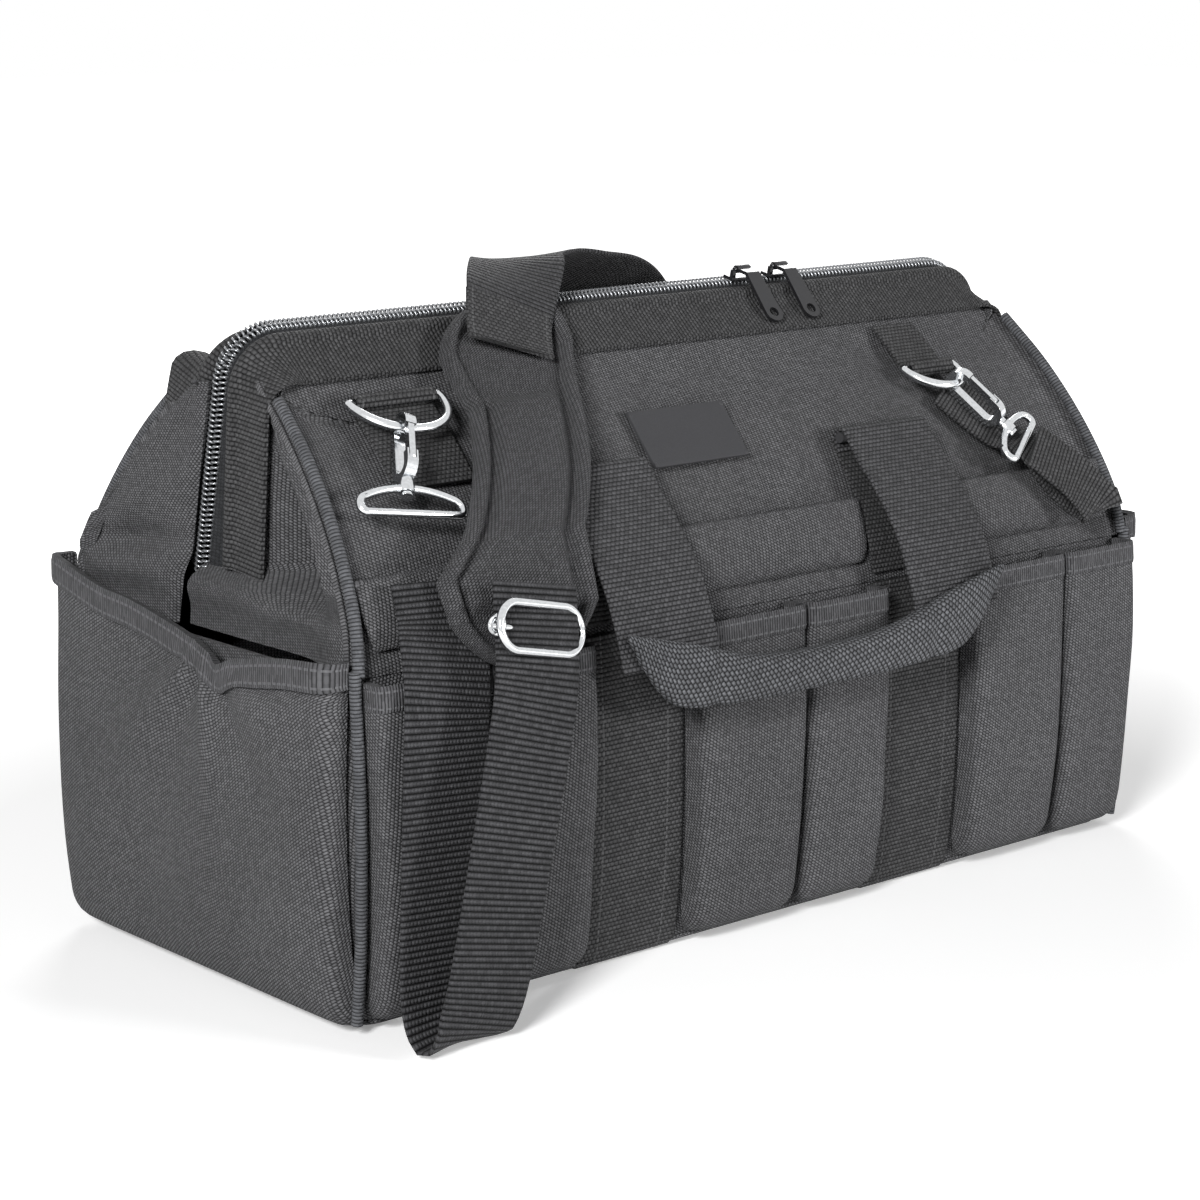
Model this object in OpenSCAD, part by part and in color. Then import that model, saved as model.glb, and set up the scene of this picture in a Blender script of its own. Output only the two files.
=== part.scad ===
// Wide-mouth tool bag: a soft fabric tub with stiff walls, two steel mouth frames in webbing
// sleeves, a double zip, bellows pockets all round, two webbing handles and a shoulder strap.
// Origin: middle of the footprint on the floor. X runs along the bag, the front faces -Y, Z is up.
// Both long sides are drawn facing +Y, and the front is the mirror image.

/* [Bag body] */
// Length between the outer faces of the end walls
body_len = 424; // [410:2:440]
// Depth between the outer faces of the front and back walls at the crease
body_dep = 182; // [176:2:190]
// Height of the crease where the upper panels start to lean in
crease_h = 135; // [133:0.5:137]
// Height of the closed zip above the floor
mouth_h = 250; // [248:0.5:254]
// Thickness of the padded fabric walls
wall_t = 2.4; // [1.8:0.2:2.8]
// Thickness of the stiff board that lies in the bottom
board_t = 3; // [2:0.5:5]
// Thickness of the bottom fabric
base_t = 2.4; // [1.6:0.2:3.2]
// Corner radius of the bottom in plan
base_corner_r = 12; // [6:1:18]
// Width of the piping along the corner seams
piping_w = 4.5; // [3.5:0.5:5]
// Gap left between sewn pieces
seam_gap = 0.3; // [0.2:0.05:0.4]

/* [Webbing] */
// Width of the handle webbing and of the strips that run under the bottom
webbing_w = 50; // [46:1:52]
// Thickness of one layer of webbing
webbing_t = 1.5; // [1.2:0.1:1.7]
// Distance of each webbing strip from the middle of the bag
strip_x = 79; // [77:1:81]
// Width of the shoulder strap webbing
strap_w = 38; // [36:1:40]
// Thickness of the shoulder strap webbing
strap_t = 1.8; // [1.4:0.1:2]
// Width of the short strap that holds a roll of tape
tape_strap_w = 25; // [22:1:26]

/* [Pockets] */
// Height of the top edge of the bellows pockets on the long sides
pocket_top = 131.5; // [126:0.5:131.5]
// Height of the lower edge of the pockets
pocket_foot = 5; // [4.5:0.5:10]
// How far the bellows pockets stand off the wall
pocket_out = 12; // [10:0.5:12.5]
// Thickness of the pocket fabric
pocket_t = 1.8; // [1.2:0.1:2.2]
// Corner radius at the foot of each pocket
pocket_foot_r = 12; // [6:1:18]
// Height of the binding tape along the pocket edges
tape_h = 9; // [6:0.5:12]
// Thickness of the binding tape
tape_t = 0.7; // [0.5:0.1:0.9]
// Height of the top edge of the end pockets
end_pocket_top = 147; // [142:1:150]
// How far the top edge of the end pockets dips in the middle
end_pocket_dip = 12; // [6:1:12]
// How far the end pockets stand off the end walls
end_pocket_out = 10; // [8:0.5:12]
// Height of the lower edge of the slip pockets on the front upper panel
slip_foot = 143; // [142:0.5:145]
// Height of the top edge of the slip pockets on the front upper panel
slip_top = 165; // [160:1:168]
// How far the slip pockets stand off the upper panel
slip_out = 8; // [7.5:0.5:8.5]

/* [Mouth frames] */
// Radius of the steel rod in each mouth frame
rod_r = 2.4; // [2:0.1:2.6]
// Play between a rod and its sleeve
rod_play = 0.1; // [0.05:0.05:0.2]
// Distance of the top bar of each rod below the zip
rod_below = 6.5; // [6.2:0.1:7.5]
// Distance of each top bar from the zip line
rod_in = 8.5; // [8.3:0.1:9]
// Distance of the rod legs from the middle of the bag
rod_half = 199; // [198.6:0.2:199.4]
// Bend radius of the rods
rod_bend = 18; // [15:1:20]
// Length of the rod legs below the top bar
rod_drop = 84; // [78:1:86]
// How far the feet of the front rod lean out from its top bar
front_leg_out = -8; // [-9:0.5:-7]
// How far the feet of the back rod lean out from its top bar
back_leg_out = 27; // [25:0.5:29]
// Width of the webbing band that covers each frame along the mouth
band_w = 22; // [20:0.5:24]
// Width of the webbing band along each leg
leg_band_w = 22; // [16:1:24]

/* [Zip] */
// Pitch of the zip teeth
tooth_pitch = 5; // [4:0.5:8]
// Length of one tooth along the zip
tooth_len = 2.6; // [2:0.1:3]
// Width of one tooth across the zip
tooth_w = 3; // [2.6:0.1:3.1]
// Height of one tooth
tooth_h = 2.4; // [2:0.1:2.6]
// Half of the gap between the two rows of teeth
row_gap = 0.4; // [0.35:0.05:0.5]
// Radius of the bead that carries the teeth
bead_r = 0.9; // [0.7:0.1:1]
// How far the foot of the zip leans towards the back at each end
zip_foot_back = 20; // [18:0.5:21]
// Length of the zip down each end
zip_drop = 97; // [90:1:98]
// Bend radius of the zip at the corners of the mouth
zip_bend = 20; // [18:1:22]
// Length of a slider
slider_len = 14; // [12:0.5:16]
// Thickness of a slider's plates
plate_t = 1.4; // [1:0.1:1.6]
// Place of the left slider along the zip
left_slider_x = 62; // [40:1:64]
// Place of the right slider along the zip
right_slider_x = 84; // [82:1:120]
// Length of the tab of a zip pull
pull_len = 25; // [20:1:27]
// Width of the tab of a zip pull
pull_w = 9; // [7:0.5:10]
// Thickness of a zip pull
pull_t = 1.5; // [1.2:0.1:1.6]
// Bend between the stem and the tab of a zip pull, so that it lies on the roof of the bag
pull_slope = 38; // [34:1:38]

/* [Handles] */
// Height on the upper panels of the fold that each handle hangs from
fold_h = 187; // [184:0.5:189]
// Radius of the pin line in the fold
fold_pin_r = 2.2; // [2:0.1:2.4]
// Radius of the grip
grip_r = 10; // [9:0.5:10]
// Distance of the grip from the middle of the bag
grip_y = 118; // [116:0.5:120]
// Height of the ends of the grip
grip_h = 118; // [114:1:120]
// How far the middle of the grip hangs below its ends
grip_sag = 8; // [5:0.5:12]
// Sideways shift of the front grip, which hangs a little askew
grip_shift = -8; // [-12:1:0]
// Length of the padded grip
grip_len = 112; // [104:2:118]
// Width of the foot of a handle leg where it turns into the grip
leg_foot_w = 32; // [28:1:36]

/* [Rings and hooks] */
// Radius of the wire of the rings
ring_wire_r = 1.9; // [1.7:0.1:2]
// Distance of the left strap ring from the middle of the bag
ring_x = 150; // [149:1:152]
// Distance of the tape ring from the middle of the bag
tape_ring_x = 129; // [127:1:131]
// Height on the upper panels of the strap rings
ring_h = 219.5; // [218:0.5:220]
// Height on the upper panels of the tape ring
tape_ring_h = 208; // [206:0.5:209]
// Running clearance of pins and rings in their eyes
pin_play = 0.06; // [0.04:0.01:0.08]
// Slope of the rings, measured from hanging straight down
ring_slope = 66; // [63:1:69]
// Slope of the snap hooks, measured from hanging straight down
hook_slope = 42; // [40:1:44]
// Width of a snap hook
hook_w = 13; // [12:0.5:14]
// Thickness of a snap hook
hook_t = 4.4; // [4.2:0.1:5]
// Length of the straight sides of a snap hook's bow
hook_side = 17; // [16:0.5:19]
// Width of the stock that forms a snap hook's bow
hook_stock = 3.2; // [3:0.1:3.4]
// Radius of the swivel post under a snap hook
post_r = 1.3; // [1.2:0.1:1.5]
// Radius of the button that keeps a bail on its post
button_r = 2.3; // [2:0.1:2.6]
// Height of the neck and of the button on either side of a bail's collar
neck_h = 1.2; // [0.8:0.1:1.6]
// Height of a bail's collar
collar_h = 4.6; // [4.4:0.1:5]
// Radius of the wire of the bails
bail_wire_r = 1.6; // [1.4:0.1:1.8]
// Bend radius at the shoulders of a bail
bail_bend = 4; // [3:0.5:5]
// Length of the straight sides of a bail
bail_leg = 0.5; // [0.3:0.1:3]
// Bend radius at the ends of a bail's bar
bar_bend = 2.5; // [2.2:0.1:4]
// Play of a strap between the legs of its bail
bail_play = 1; // [0.6:0.1:1.6]

/* [Label] */
// Width of the rubbery label patch
label_w = 51; // [44:1:52]
// Height on the upper panel of the lower edge of the label
label_foot = 187.5; // [186:0.5:190]
// Height on the upper panel of the upper edge of the label
label_top = 207.5; // [204:0.5:210]
// Thickness of the label
label_t = 1.6; // [1:0.1:2]

/* [Shoulder strap] */
// Thickness of the shoulder pad
pad_t = 8; // [6:0.5:9]
// Radius of the wire of the strap slider
slide_wire_r = 1.6; // [1.4:0.1:1.8]
// Height of the strap slider between its outer bars
slide_h = 20; // [18:1:22]

/* [Hidden] */

fabric = "#4b4c4f";
webbing = "#2b2b2d";
metal = "#d4d6d8";
over = 1;
facets = 40;

half_len = body_len / 2;
half_dep = body_dep / 2;
lean_h = mouth_h - crease_h;
base_top = webbing_t + base_t;

// Outer line of the long walls: reach as a share of half the depth, height as a share of the crease
lower_shares = [[0.975, 0.03], [1.012, 0.28], [1.025, 0.6], [1.012, 0.85], [1, 0.985]];
// Outer line of the end walls: reach as a share of half the length, height as a share of the crease
end_shares = [[0.985, 0.03], [1.004, 0.3], [1.008, 0.65], [1, 0.985]];
// Outer line of the upper panels: inward run as a share of half the depth, rise as a share of the lean
lean_shares = [[0, 0], [0.05, 0.15], [0.16, 0.32], [0.3, 0.48], [0.455, 0.62], [0.615, 0.735], [0.78, 0.845]];
// Half length of the upper panels at the mouth, as a share of half the length at the crease
mouth_len_share = 0.93;

lower_line = [for (s = lower_shares) [s[0] * half_dep, s[1] * crease_h]];
end_line = [for (s = end_shares) [s[0] * half_len, s[1] * crease_h]];
lean_line = [for (s = lean_shares) [half_dep * (1 - s[0]), crease_h + lean_h * s[1]]];

function flip(p) = [for (i = [len(p) - 1:-1:0]) p[i]];
function unit(v) = v / norm(v);
function out_dir(a, b) = let (d = unit(b - a)) [d[1], -d[0]];
function offset_line(p, t) = let (n = len(p) - 1) [for (i = [0:n])
    let (a = out_dir(p[max(i - 1, 0)], p[max(i, 1)]), b = out_dir(p[min(i, n - 1)], p[min(i + 1, n)]),
        m = unit(a + b)) p[i] + m * t / (m * a)];
function sheet(p, t0, t1) = concat(offset_line(p, t0), flip(offset_line(p, t1)));
function both_sides(p) = concat(p, flip([for (q = p) [-q[0], q[1]]]));
function at_height(line, z) = [lookup(z, [for (p = line) [p[1], p[0]]]), z];
function stretch(line, z0, z1) = concat([at_height(line, z0)],
    [for (p = line) if (p[1] > z0 + seam_gap && p[1] < z1 - seam_gap) p], [at_height(line, z1)]);
function facing(line, z) = out_dir(at_height(line, z - over), at_height(line, z + over));
function arc(c, r, a0, a1, n) = [for (i = [0:n]) c + r * [cos(a0 + (a1 - a0) * i / n),
    sin(a0 + (a1 - a0) * i / n)]];
function round_rect(w, d, r) = let (n = 6) concat(arc([w / 2 - r, d / 2 - r], r, 0, 90, n),
    arc([r - w / 2, d / 2 - r], r, 90, 180, n), arc([r - w / 2, r - d / 2], r, 180, 270, n),
    arc([w / 2 - r, r - d / 2], r, 270, 360, n));
function round_foot(x0, x1, z0, z1, r) = concat(arc([x1 - r, z0 + r], r, 270, 360, 5),
    [[x1, z1], [x0, z1]], arc([x0 + r, z0 + r], r, 180, 270, 5));
function turn_x(a, v) = [v[0], v[1] * cos(a) - v[2] * sin(a), v[1] * sin(a) + v[2] * cos(a)];
function turn_y(a, v) = [v[0] * cos(a) + v[2] * sin(a), v[1], v[2] * cos(a) - v[0] * sin(a)];

module run_x(x0, x1) translate([x0, 0, 0]) rotate([90, 0, 90]) linear_extrude(x1 - x0) children();
module run_y(y0, y1) translate([0, y1, 0]) rotate([90, 0, 0]) linear_extrude(y1 - y0) children();
module mirrored_x() for (s = [0, 1]) mirror([s, 0, 0]) children();
module to_front() mirror([0, 1, 0]) children();
module rod_between(a, b, r) {
    d = b - a;
    translate(a) rotate([0, acos(d[2] / norm(d)), atan2(d[1], d[0])])
        cylinder(h = norm(d), r = r, $fn = facets);
}

// A flat band swept along a route: each row of the route holds a centre and the band's width direction
function band_frame(route, i) = let (n = len(route) - 1,
    run = unit(route[min(i + 1, n)][0] - route[max(i - 1, 0)][0]), side = route[i][1],
    across = unit(side - run * (run * side))) [across, cross(run, across)];
module band(route, w, t) {
    n = len(route);
    points = [for (i = [0:n - 1]) let (f = band_frame(route, i), c = route[i][0])
        for (k = [[-1, -1], [1, -1], [1, 1], [-1, 1]]) c + f[0] * k[0] * w / 2 + f[1] * k[1] * t / 2];
    faces = concat([[3, 2, 0], [2, 1, 0]],
        [for (i = [0:n - 2], k = [0:3]) let (a = 4 * i + k, b = 4 * i + (k + 1) % 4) each
            [[a, b, b + 4], [a, b + 4, a + 4]]],
        [[4 * n - 4, 4 * n - 3, 4 * n - 1], [4 * n - 3, 4 * n - 2, 4 * n - 1]]);
    polyhedron(points, faces);
}

// Bottom of the bag
module base_board() {
    w = 2 * (end_line[0][0] - wall_t - over);
    d = 2 * (lower_line[0][0] - wall_t - over);
    color("#1d1d1f") translate([0, 0, base_top + seam_gap]) linear_extrude(board_t)
        polygon(round_rect(w, d, base_corner_r));
}
module base_panel() {
    color(fabric) translate([0, 0, webbing_t]) linear_extrude(base_t)
        polygon(round_rect(2 * end_line[0][0], 2 * lower_line[0][0], base_corner_r));
}
// Two strips of webbing that run up the front, under the bottom and up the back
module base_straps() {
    wall_side = offset_line(lower_line, seam_gap);
    line = concat([[0, webbing_t], [wall_side[0][0], webbing_t]], wall_side);
    color(webbing) for (s = [-1, 1], m = [0, 1]) mirror([0, m, 0])
        run_x(s * strip_x - webbing_w / 2, s * strip_x + webbing_w / 2)
            polygon(sheet(line, 0, webbing_t));
}

// Lower walls
module long_wall() {
    intersection() {
        run_x(-half_len - pocket_out, half_len + pocket_out) polygon(sheet(lower_line, -wall_t, 0));
        run_y(0, body_dep) polygon(both_sides(end_line));
    }
}
module front_panel() color(fabric) to_front() long_wall();
module back_panel() color(fabric) long_wall();
module end_wall() {
    intersection() {
        run_y(-body_dep, body_dep) polygon(sheet(end_line, -wall_t, 0));
        run_x(0, body_len) polygon(both_sides(offset_line(lower_line, -wall_t - seam_gap)));
    }
}
module left_end_panel() color(fabric) mirror([1, 0, 0]) end_wall();
module right_end_panel() color(fabric) end_wall();

// Bellows pockets: the splits are the places of the stitched dividers
module bellows(x0, x1, splits) {
    line = stretch(lower_line, pocket_foot, pocket_top);
    room = stretch(lower_line, pocket_foot + pocket_t, crease_h);
    edge = stretch(lower_line, pocket_top - tape_h, pocket_top);
    stops = concat([x0], splits, [x1]);
    difference() {
        intersection() {
            union() {
                run_x(x0, x1) polygon(sheet(line, seam_gap, pocket_out));
                run_x(x0, x1) polygon(sheet(edge, pocket_out - pocket_t, pocket_out + tape_t));
            }
            run_y(0, body_dep)
                polygon(round_foot(x0, x1, pocket_foot, crease_h + over, pocket_foot_r));
        }
        for (i = [0:len(stops) - 2])
            run_x(stops[i] + (i == 0 ? pocket_t : pocket_t / 2),
                stops[i + 1] - (i == len(stops) - 2 ? pocket_t : pocket_t / 2))
                polygon(sheet(room, -over, pocket_out - pocket_t));
    }
}
strip_in = strip_x - webbing_w / 2 - seam_gap;
strip_out = strip_x + webbing_w / 2 + seam_gap;
pocket_end = end_line[0][0];
// Places of the dividers of the middle and outer pairs, as shares of their inner and outer edges
middle_split_share = 0.12;
outer_split_share = 0.56;
outer_split = strip_out + (pocket_end - strip_out) * outer_split_share;
module front_left_pockets() color(fabric) to_front() bellows(-pocket_end, -strip_out, [-outer_split]);
module front_middle_pockets() color(fabric) to_front()
    bellows(-strip_in, strip_in, [strip_in * middle_split_share]);
module front_right_pockets() color(fabric) to_front() bellows(strip_out, pocket_end, [outer_split]);
module back_pockets() color(fabric) {
    bellows(-pocket_end, -strip_out, []);
    bellows(-strip_in, strip_in, []);
    bellows(strip_out, pocket_end, []);
}

// End pockets stand taller than the end walls, and their top edge dips in the middle
function dipped(reach, z) = [for (i = [0:16]) let (k = 1 - i / 8)
    [k * reach, z - end_pocket_dip * (1 - k * k)]];
module end_pocket() {
    reach = half_dep - pocket_t;
    tall = concat(end_line, [[end_line[len(end_line) - 1][0], end_pocket_top]]);
    line = stretch(tall, pocket_foot, end_pocket_top);
    room = stretch(concat(tall, [[end_line[0][0], end_pocket_top + pocket_out]]),
        pocket_foot + pocket_t, end_pocket_top + over);
    foot = round_foot(-reach, reach, pocket_foot, end_pocket_top, pocket_foot_r);
    difference() {
        union() {
            intersection() {
                run_y(-reach, reach) polygon(sheet(line, seam_gap, end_pocket_out));
                run_x(0, body_len) polygon(concat([for (p = foot) if (p[0] > 0 && p[1] < crease_h) p],
                    dipped(reach, end_pocket_top), [for (p = foot) if (p[0] < 0 && p[1] < crease_h) p]));
            }
            intersection() {
                run_y(-reach, reach)
                    polygon(sheet(line, end_pocket_out - pocket_t, end_pocket_out + tape_t));
                run_x(0, body_len) polygon(concat(dipped(reach, end_pocket_top),
                    flip(dipped(reach, end_pocket_top - tape_h))));
            }
        }
        run_y(pocket_t - reach, reach - pocket_t)
            polygon(sheet(room, -over, end_pocket_out - pocket_t));
    }
}
module left_end_pocket() color(fabric) mirror([1, 0, 0]) end_pocket();
module right_end_pocket() color(fabric) end_pocket();

// Piping up the corner seams, on the faces of the long walls beside the pockets
module corner_piping() {
    color(fabric) for (m = [0, 1], n = [0, 1]) mirror([m, 0, 0]) mirror([0, n, 0])
        run_x(pocket_end + seam_gap, pocket_end + seam_gap + piping_w)
            polygon(sheet(lower_line, seam_gap, seam_gap + piping_w));
}

// Upper panels lean in from the crease to the mouth
function panel_half(z) = half_len * (1 - (1 - mouth_len_share) * (z - crease_h) / lean_h);
panel_outline = both_sides([[panel_half(crease_h - wall_t), crease_h - wall_t],
    [panel_half(mouth_h), mouth_h]]);
crease_axis = lean_line[0] - out_dir(lean_line[0], lean_line[1]) * wall_t / 2;
module upper_panel() {
    intersection() {
        union() {
            run_x(-half_len, half_len) polygon(sheet(lean_line, -wall_t, 0));
            translate([-half_len, crease_axis[0], crease_axis[1]]) rotate([0, 90, 0])
                cylinder(h = body_len, r = wall_t / 2, $fn = facets);
        }
        run_y(0, body_dep) polygon(panel_outline);
    }
}
module front_upper_panel() color(fabric) to_front() upper_panel();
module back_upper_panel() color(fabric) upper_panel();
module mouth_piping() {
    lean_angle = atan((panel_half(crease_h) - panel_half(mouth_h)) / lean_h);
    line = stretch(lean_line, crease_h + slip_out, band_foot[1] - band_t);
    foot = panel_half(crease_h);
    mirrored_x() intersection() {
        run_x(foot - body_dep, foot) polygon(sheet(line, seam_gap, seam_gap + piping_w));
        run_y(0, body_dep) polygon([for (k = [0, 1]) for (z = k == 0 ? [crease_h, mouth_h]
            : [mouth_h, crease_h]) [panel_half(z) - (1 - k) * piping_w, z]]);
    }
}
module front_mouth_piping() color(fabric) to_front() mouth_piping();
module back_mouth_piping() color(fabric) mouth_piping();

// Mouth frames: a bent steel rod in a webbing sleeve, drawn in the plane of its legs
rod_h = mouth_h - rod_below;
ring_c = [rod_in, rod_h];
sleeve_r = rod_r + rod_play + webbing_t;
band_t = 1.5 * webbing_t;
front_tilt = asin(front_leg_out / rod_drop);
back_tilt = asin(back_leg_out / rod_drop);
module frame_u(r, half, bend, drop) {
    rotate([0, 90, 0]) cylinder(h = 2 * (half - bend), r = r, center = true, $fn = facets);
    for (s = [-1, 1]) {
        translate([s * half, 0, -drop]) cylinder(h = drop - bend, r = r, $fn = facets);
        translate([s * (half - bend), 0, -bend]) rotate([90, 0, 0]) rotate([0, 0, s > 0 ? 0 : 90])
            rotate_extrude(angle = 90, $fn = 64) translate([bend, 0]) circle(r, $fn = facets);
    }
}
module at_frame(tilt) translate([0, rod_in, rod_h]) rotate([tilt, 0, 0]) children();
// The band laps over the top edge of its panel
lap_line = offset_line(lean_line, seam_gap);
lap_top = lap_line[len(lap_line) - 1];
band_foot = lap_top + unit(lap_line[len(lap_line) - 2] - lap_top) * (band_w - norm(lap_top - ring_c));
module frame_sleeve(tilt) {
    outline = concat([[-rod_half - sleeve_r, crease_h], [rod_half + sleeve_r, crease_h]],
        arc([rod_half - rod_bend, rod_h - rod_bend], rod_bend + sleeve_r, 0, 90, 8),
        arc([rod_bend - rod_half, rod_h - rod_bend], rod_bend + sleeve_r, 90, 180, 8));
    difference() {
        union() {
            at_frame(tilt) frame_u(sleeve_r, rod_half, rod_bend, rod_drop);
            intersection() {
                run_x(-rod_half, rod_half) polygon(sheet([band_foot, lap_top, ring_c], 0, band_t));
                run_y(0, body_dep) polygon(outline);
            }
            intersection() {
                at_frame(tilt) mirrored_x() translate([rod_half + sleeve_r - band_t, 0, -rod_drop])
                    cube([band_t, leg_band_w, rod_drop - rod_bend]);
                run_x(-body_len, body_len)
                    polygon(both_sides(offset_line(lean_line, -wall_t - seam_gap)));
            }
        }
        at_frame(tilt) frame_u(rod_r + rod_play, rod_half, rod_bend, rod_drop + over);
    }
}
module front_frame_rod() color(metal) to_front() at_frame(front_tilt)
    frame_u(rod_r, rod_half, rod_bend, rod_drop);
module back_frame_rod() color(metal) at_frame(back_tilt)
    frame_u(rod_r, rod_half, rod_bend, rod_drop);
module front_frame_sleeve() color(webbing) to_front() frame_sleeve(front_tilt);
module back_frame_sleeve() color(webbing) frame_sleeve(back_tilt);

// Zip rows: a bead with teeth that runs along the mouth and down both ends, and its tape
zip_half = rod_half + seam_gap;
zip_z = mouth_h - tooth_h / 2;
zip_tilt = asin(zip_foot_back / zip_drop);
bead_y = row_gap + tooth_w;
module tooth() translate([-tooth_len / 2, row_gap, -tooth_h / 2]) cube([tooth_len, tooth_w, tooth_h]);
module teeth() {
    straight = zip_half - zip_bend;
    across = floor(straight / tooth_pitch);
    down = floor((zip_drop - zip_bend) / tooth_pitch);
    bend_steps = round(zip_bend * PI / 2 / tooth_pitch);
    for (i = [-across:across]) translate([i * tooth_pitch, 0, 0]) tooth();
    mirrored_x() {
        for (i = [1:bend_steps - 1]) translate([straight, 0, -zip_bend])
            rotate([0, 90 * i / bend_steps, 0]) translate([0, 0, zip_bend]) tooth();
        for (i = [0:down - 1]) translate([zip_half, 0, -zip_bend - (i + 0.5) * tooth_pitch])
            rotate([0, 90, 0]) tooth();
    }
}
module zip_row(lean, frame_tilt) {
    start = [bead_y, zip_z];
    near = ring_c + unit(start - ring_c) * (sleeve_r + seam_gap);
    zip_at = function (d) [d * sin(lean) + bead_y * cos(lean), zip_z + bead_y * sin(lean) - d * cos(lean)];
    rod_at = function (d) [rod_in + d * sin(frame_tilt) - sleeve_r - seam_gap,
        rod_h - d * cos(frame_tilt)];
    translate([0, 0, zip_z]) rotate([lean, 0, 0]) {
        translate([0, bead_y, 0]) frame_u(bead_r, zip_half, zip_bend, zip_drop);
        teeth();
    }
    run_x(zip_bend + bead_r - zip_half, zip_half - zip_bend - bead_r)
        polygon(sheet([near, start], -tape_t / 2, tape_t / 2));
    mirrored_x() run_x(zip_half - tape_t / 2, zip_half + tape_t / 2)
        polygon([zip_at(zip_bend + bead_r), zip_at(zip_drop - 2 * bead_r), rod_at(rod_drop),
            rod_at(rod_bend)]);
}
module front_zip_row() color("#232325") to_front() zip_row(-zip_tilt, front_tilt);
module back_zip_row() color("#232325") zip_row(zip_tilt, back_tilt);

// Zip sliders ride on the front row and keep clear of the back row when the mouth opens
plate_low = tooth_h / 2 + seam_gap + bead_r / 4;
slider_lip = row_gap + seam_gap + bead_r / 4;
bridge_z = plate_low + plate_t + 2.4 * bead_r + pull_t / 2;
bridge_y = bead_y - bead_r;
bridge_half = pull_w / 2 + seam_gap;
module at_slider(x) to_front() translate([x, 0, zip_z]) rotate([-zip_tilt, 0, 0]) children();
module slider(x) {
    back_edge = bead_y + 2 * bead_r;
    at_slider(x) {
        translate([-slider_len / 2, -slider_lip, plate_low])
            cube([slider_len, back_edge + slider_lip, plate_t]);
        translate([-slider_len / 2, -slider_lip, -plate_low - plate_t])
            cube([slider_len, bead_y + slider_lip, plate_t]);
        translate([-tooth_w, -row_gap / 2, -plate_low - plate_t / 2])
            cube([2 * tooth_w, row_gap, 2 * plate_low + plate_t]);
        for (s = [-1, 1]) translate([s * bridge_half - bead_r, bridge_y - bead_r, plate_low + plate_t / 2])
            cube([2 * bead_r, 2 * bead_r, bridge_z - plate_low - plate_t / 2]);
        translate([-bridge_half, bridge_y, bridge_z]) rotate([0, 90, 0])
            cylinder(h = 2 * bridge_half, r = bead_r, $fn = facets);
    }
}
module zip_slider_left() color("#303033") slider(left_slider_x);
module zip_slider_right() color("#303033") slider(right_slider_x);
module pull(x) {
    stem = pull_w * 0.7;
    eye_r = bead_r + pin_play;
    w = bridge_half - bead_r - seam_gap;
    at_slider(x) translate([0, bridge_y, bridge_z]) difference() {
        union() {
            translate([-w, 0, 0]) rotate([0, 90, 0])
                cylinder(h = 2 * w, r = eye_r + pull_t / 2, $fn = facets);
            translate([-w, 0, -pull_t / 2]) cube([2 * w, stem + pull_t / 2, pull_t]);
            translate([0, stem, 0]) rotate([-pull_slope, 0, 0]) difference() {
                translate([0, 0, -pull_t / 2]) linear_extrude(pull_t) polygon(concat([[w, 0]],
                    arc([0, pull_len - pull_w / 2], pull_w / 2, 0, 180, 16), [[-w, 0]]));
                translate([0, pull_len - pull_w / 2, -pull_t])
                    cylinder(h = 2 * pull_t, r = pull_w / 4, $fn = facets);
            }
        }
        translate([-w - over, 0, 0]) rotate([0, 90, 0]) cylinder(h = 2 * (w + over), r = eye_r, $fn = facets);
    }
}
module zip_pull_left() color("#303033") pull(left_slider_x);
module zip_pull_right() color("#303033") pull(right_slider_x);

// End gussets: fabric folds that join the frame legs to the ends of the upper panels
fold_r = wall_t / 2;
module fold_sheet(points) hull() for (p = points) translate(p) sphere(fold_r, $fn = 8);
function leg_edge(tilt, z) = rod_in + leg_band_w * cos(tilt)
    + (rod_h - z + leg_band_w * sin(tilt)) * tan(tilt) + fold_r + 2 * seam_gap;
// Reach of the inner folds at their foot and top, and of the outward folds at the back, as shares
// of half the length
fold_in_shares = [0.925, 0.875];
fold_out_shares = [0.955, 0.93];
// Heights of the folds on the way from the crease to the mouth, as shares: the foot, the foot at the
// leg, the top at the leg and the top at the panel
front_fold_shares = [0.06, 0.17, 0.65, 0.7];
back_fold_shares = [0.06, 0.17, 0.53, 0.57];
function knee_y(tilt, rise_shares, k) = let (z = crease_h + lean_h * rise_shares[k > 0 ? 3 : 0],
    leg_z = crease_h + lean_h * rise_shares[k > 0 ? 2 : 1])
    (at_height(lean_line, z)[0] - wall_t - (2 + k) * fold_r + leg_edge(tilt, leg_z)) / 2;
module side_gusset(tilt, reach_shares, rise_shares) {
    z = [for (s = rise_shares) crease_h + lean_h * s];
    foot = [panel_half(z[0]) - fold_r, at_height(lean_line, z[0])[0] - wall_t - 2 * fold_r, z[0]];
    head = [panel_half(z[3]) - fold_r, at_height(lean_line, z[3])[0] - wall_t - 3 * fold_r, z[3]];
    knee_foot = [half_len * reach_shares[0], knee_y(tilt, rise_shares, 0), z[0]];
    knee_head = [half_len * reach_shares[1], knee_y(tilt, rise_shares, 1), z[2]];
    fold_sheet([foot, head, knee_foot, knee_head]);
    fold_sheet([knee_foot, knee_head, [rod_half, leg_edge(tilt, z[1]), z[1]],
        [rod_half, leg_edge(tilt, z[2]), z[2]]]);
}
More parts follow.
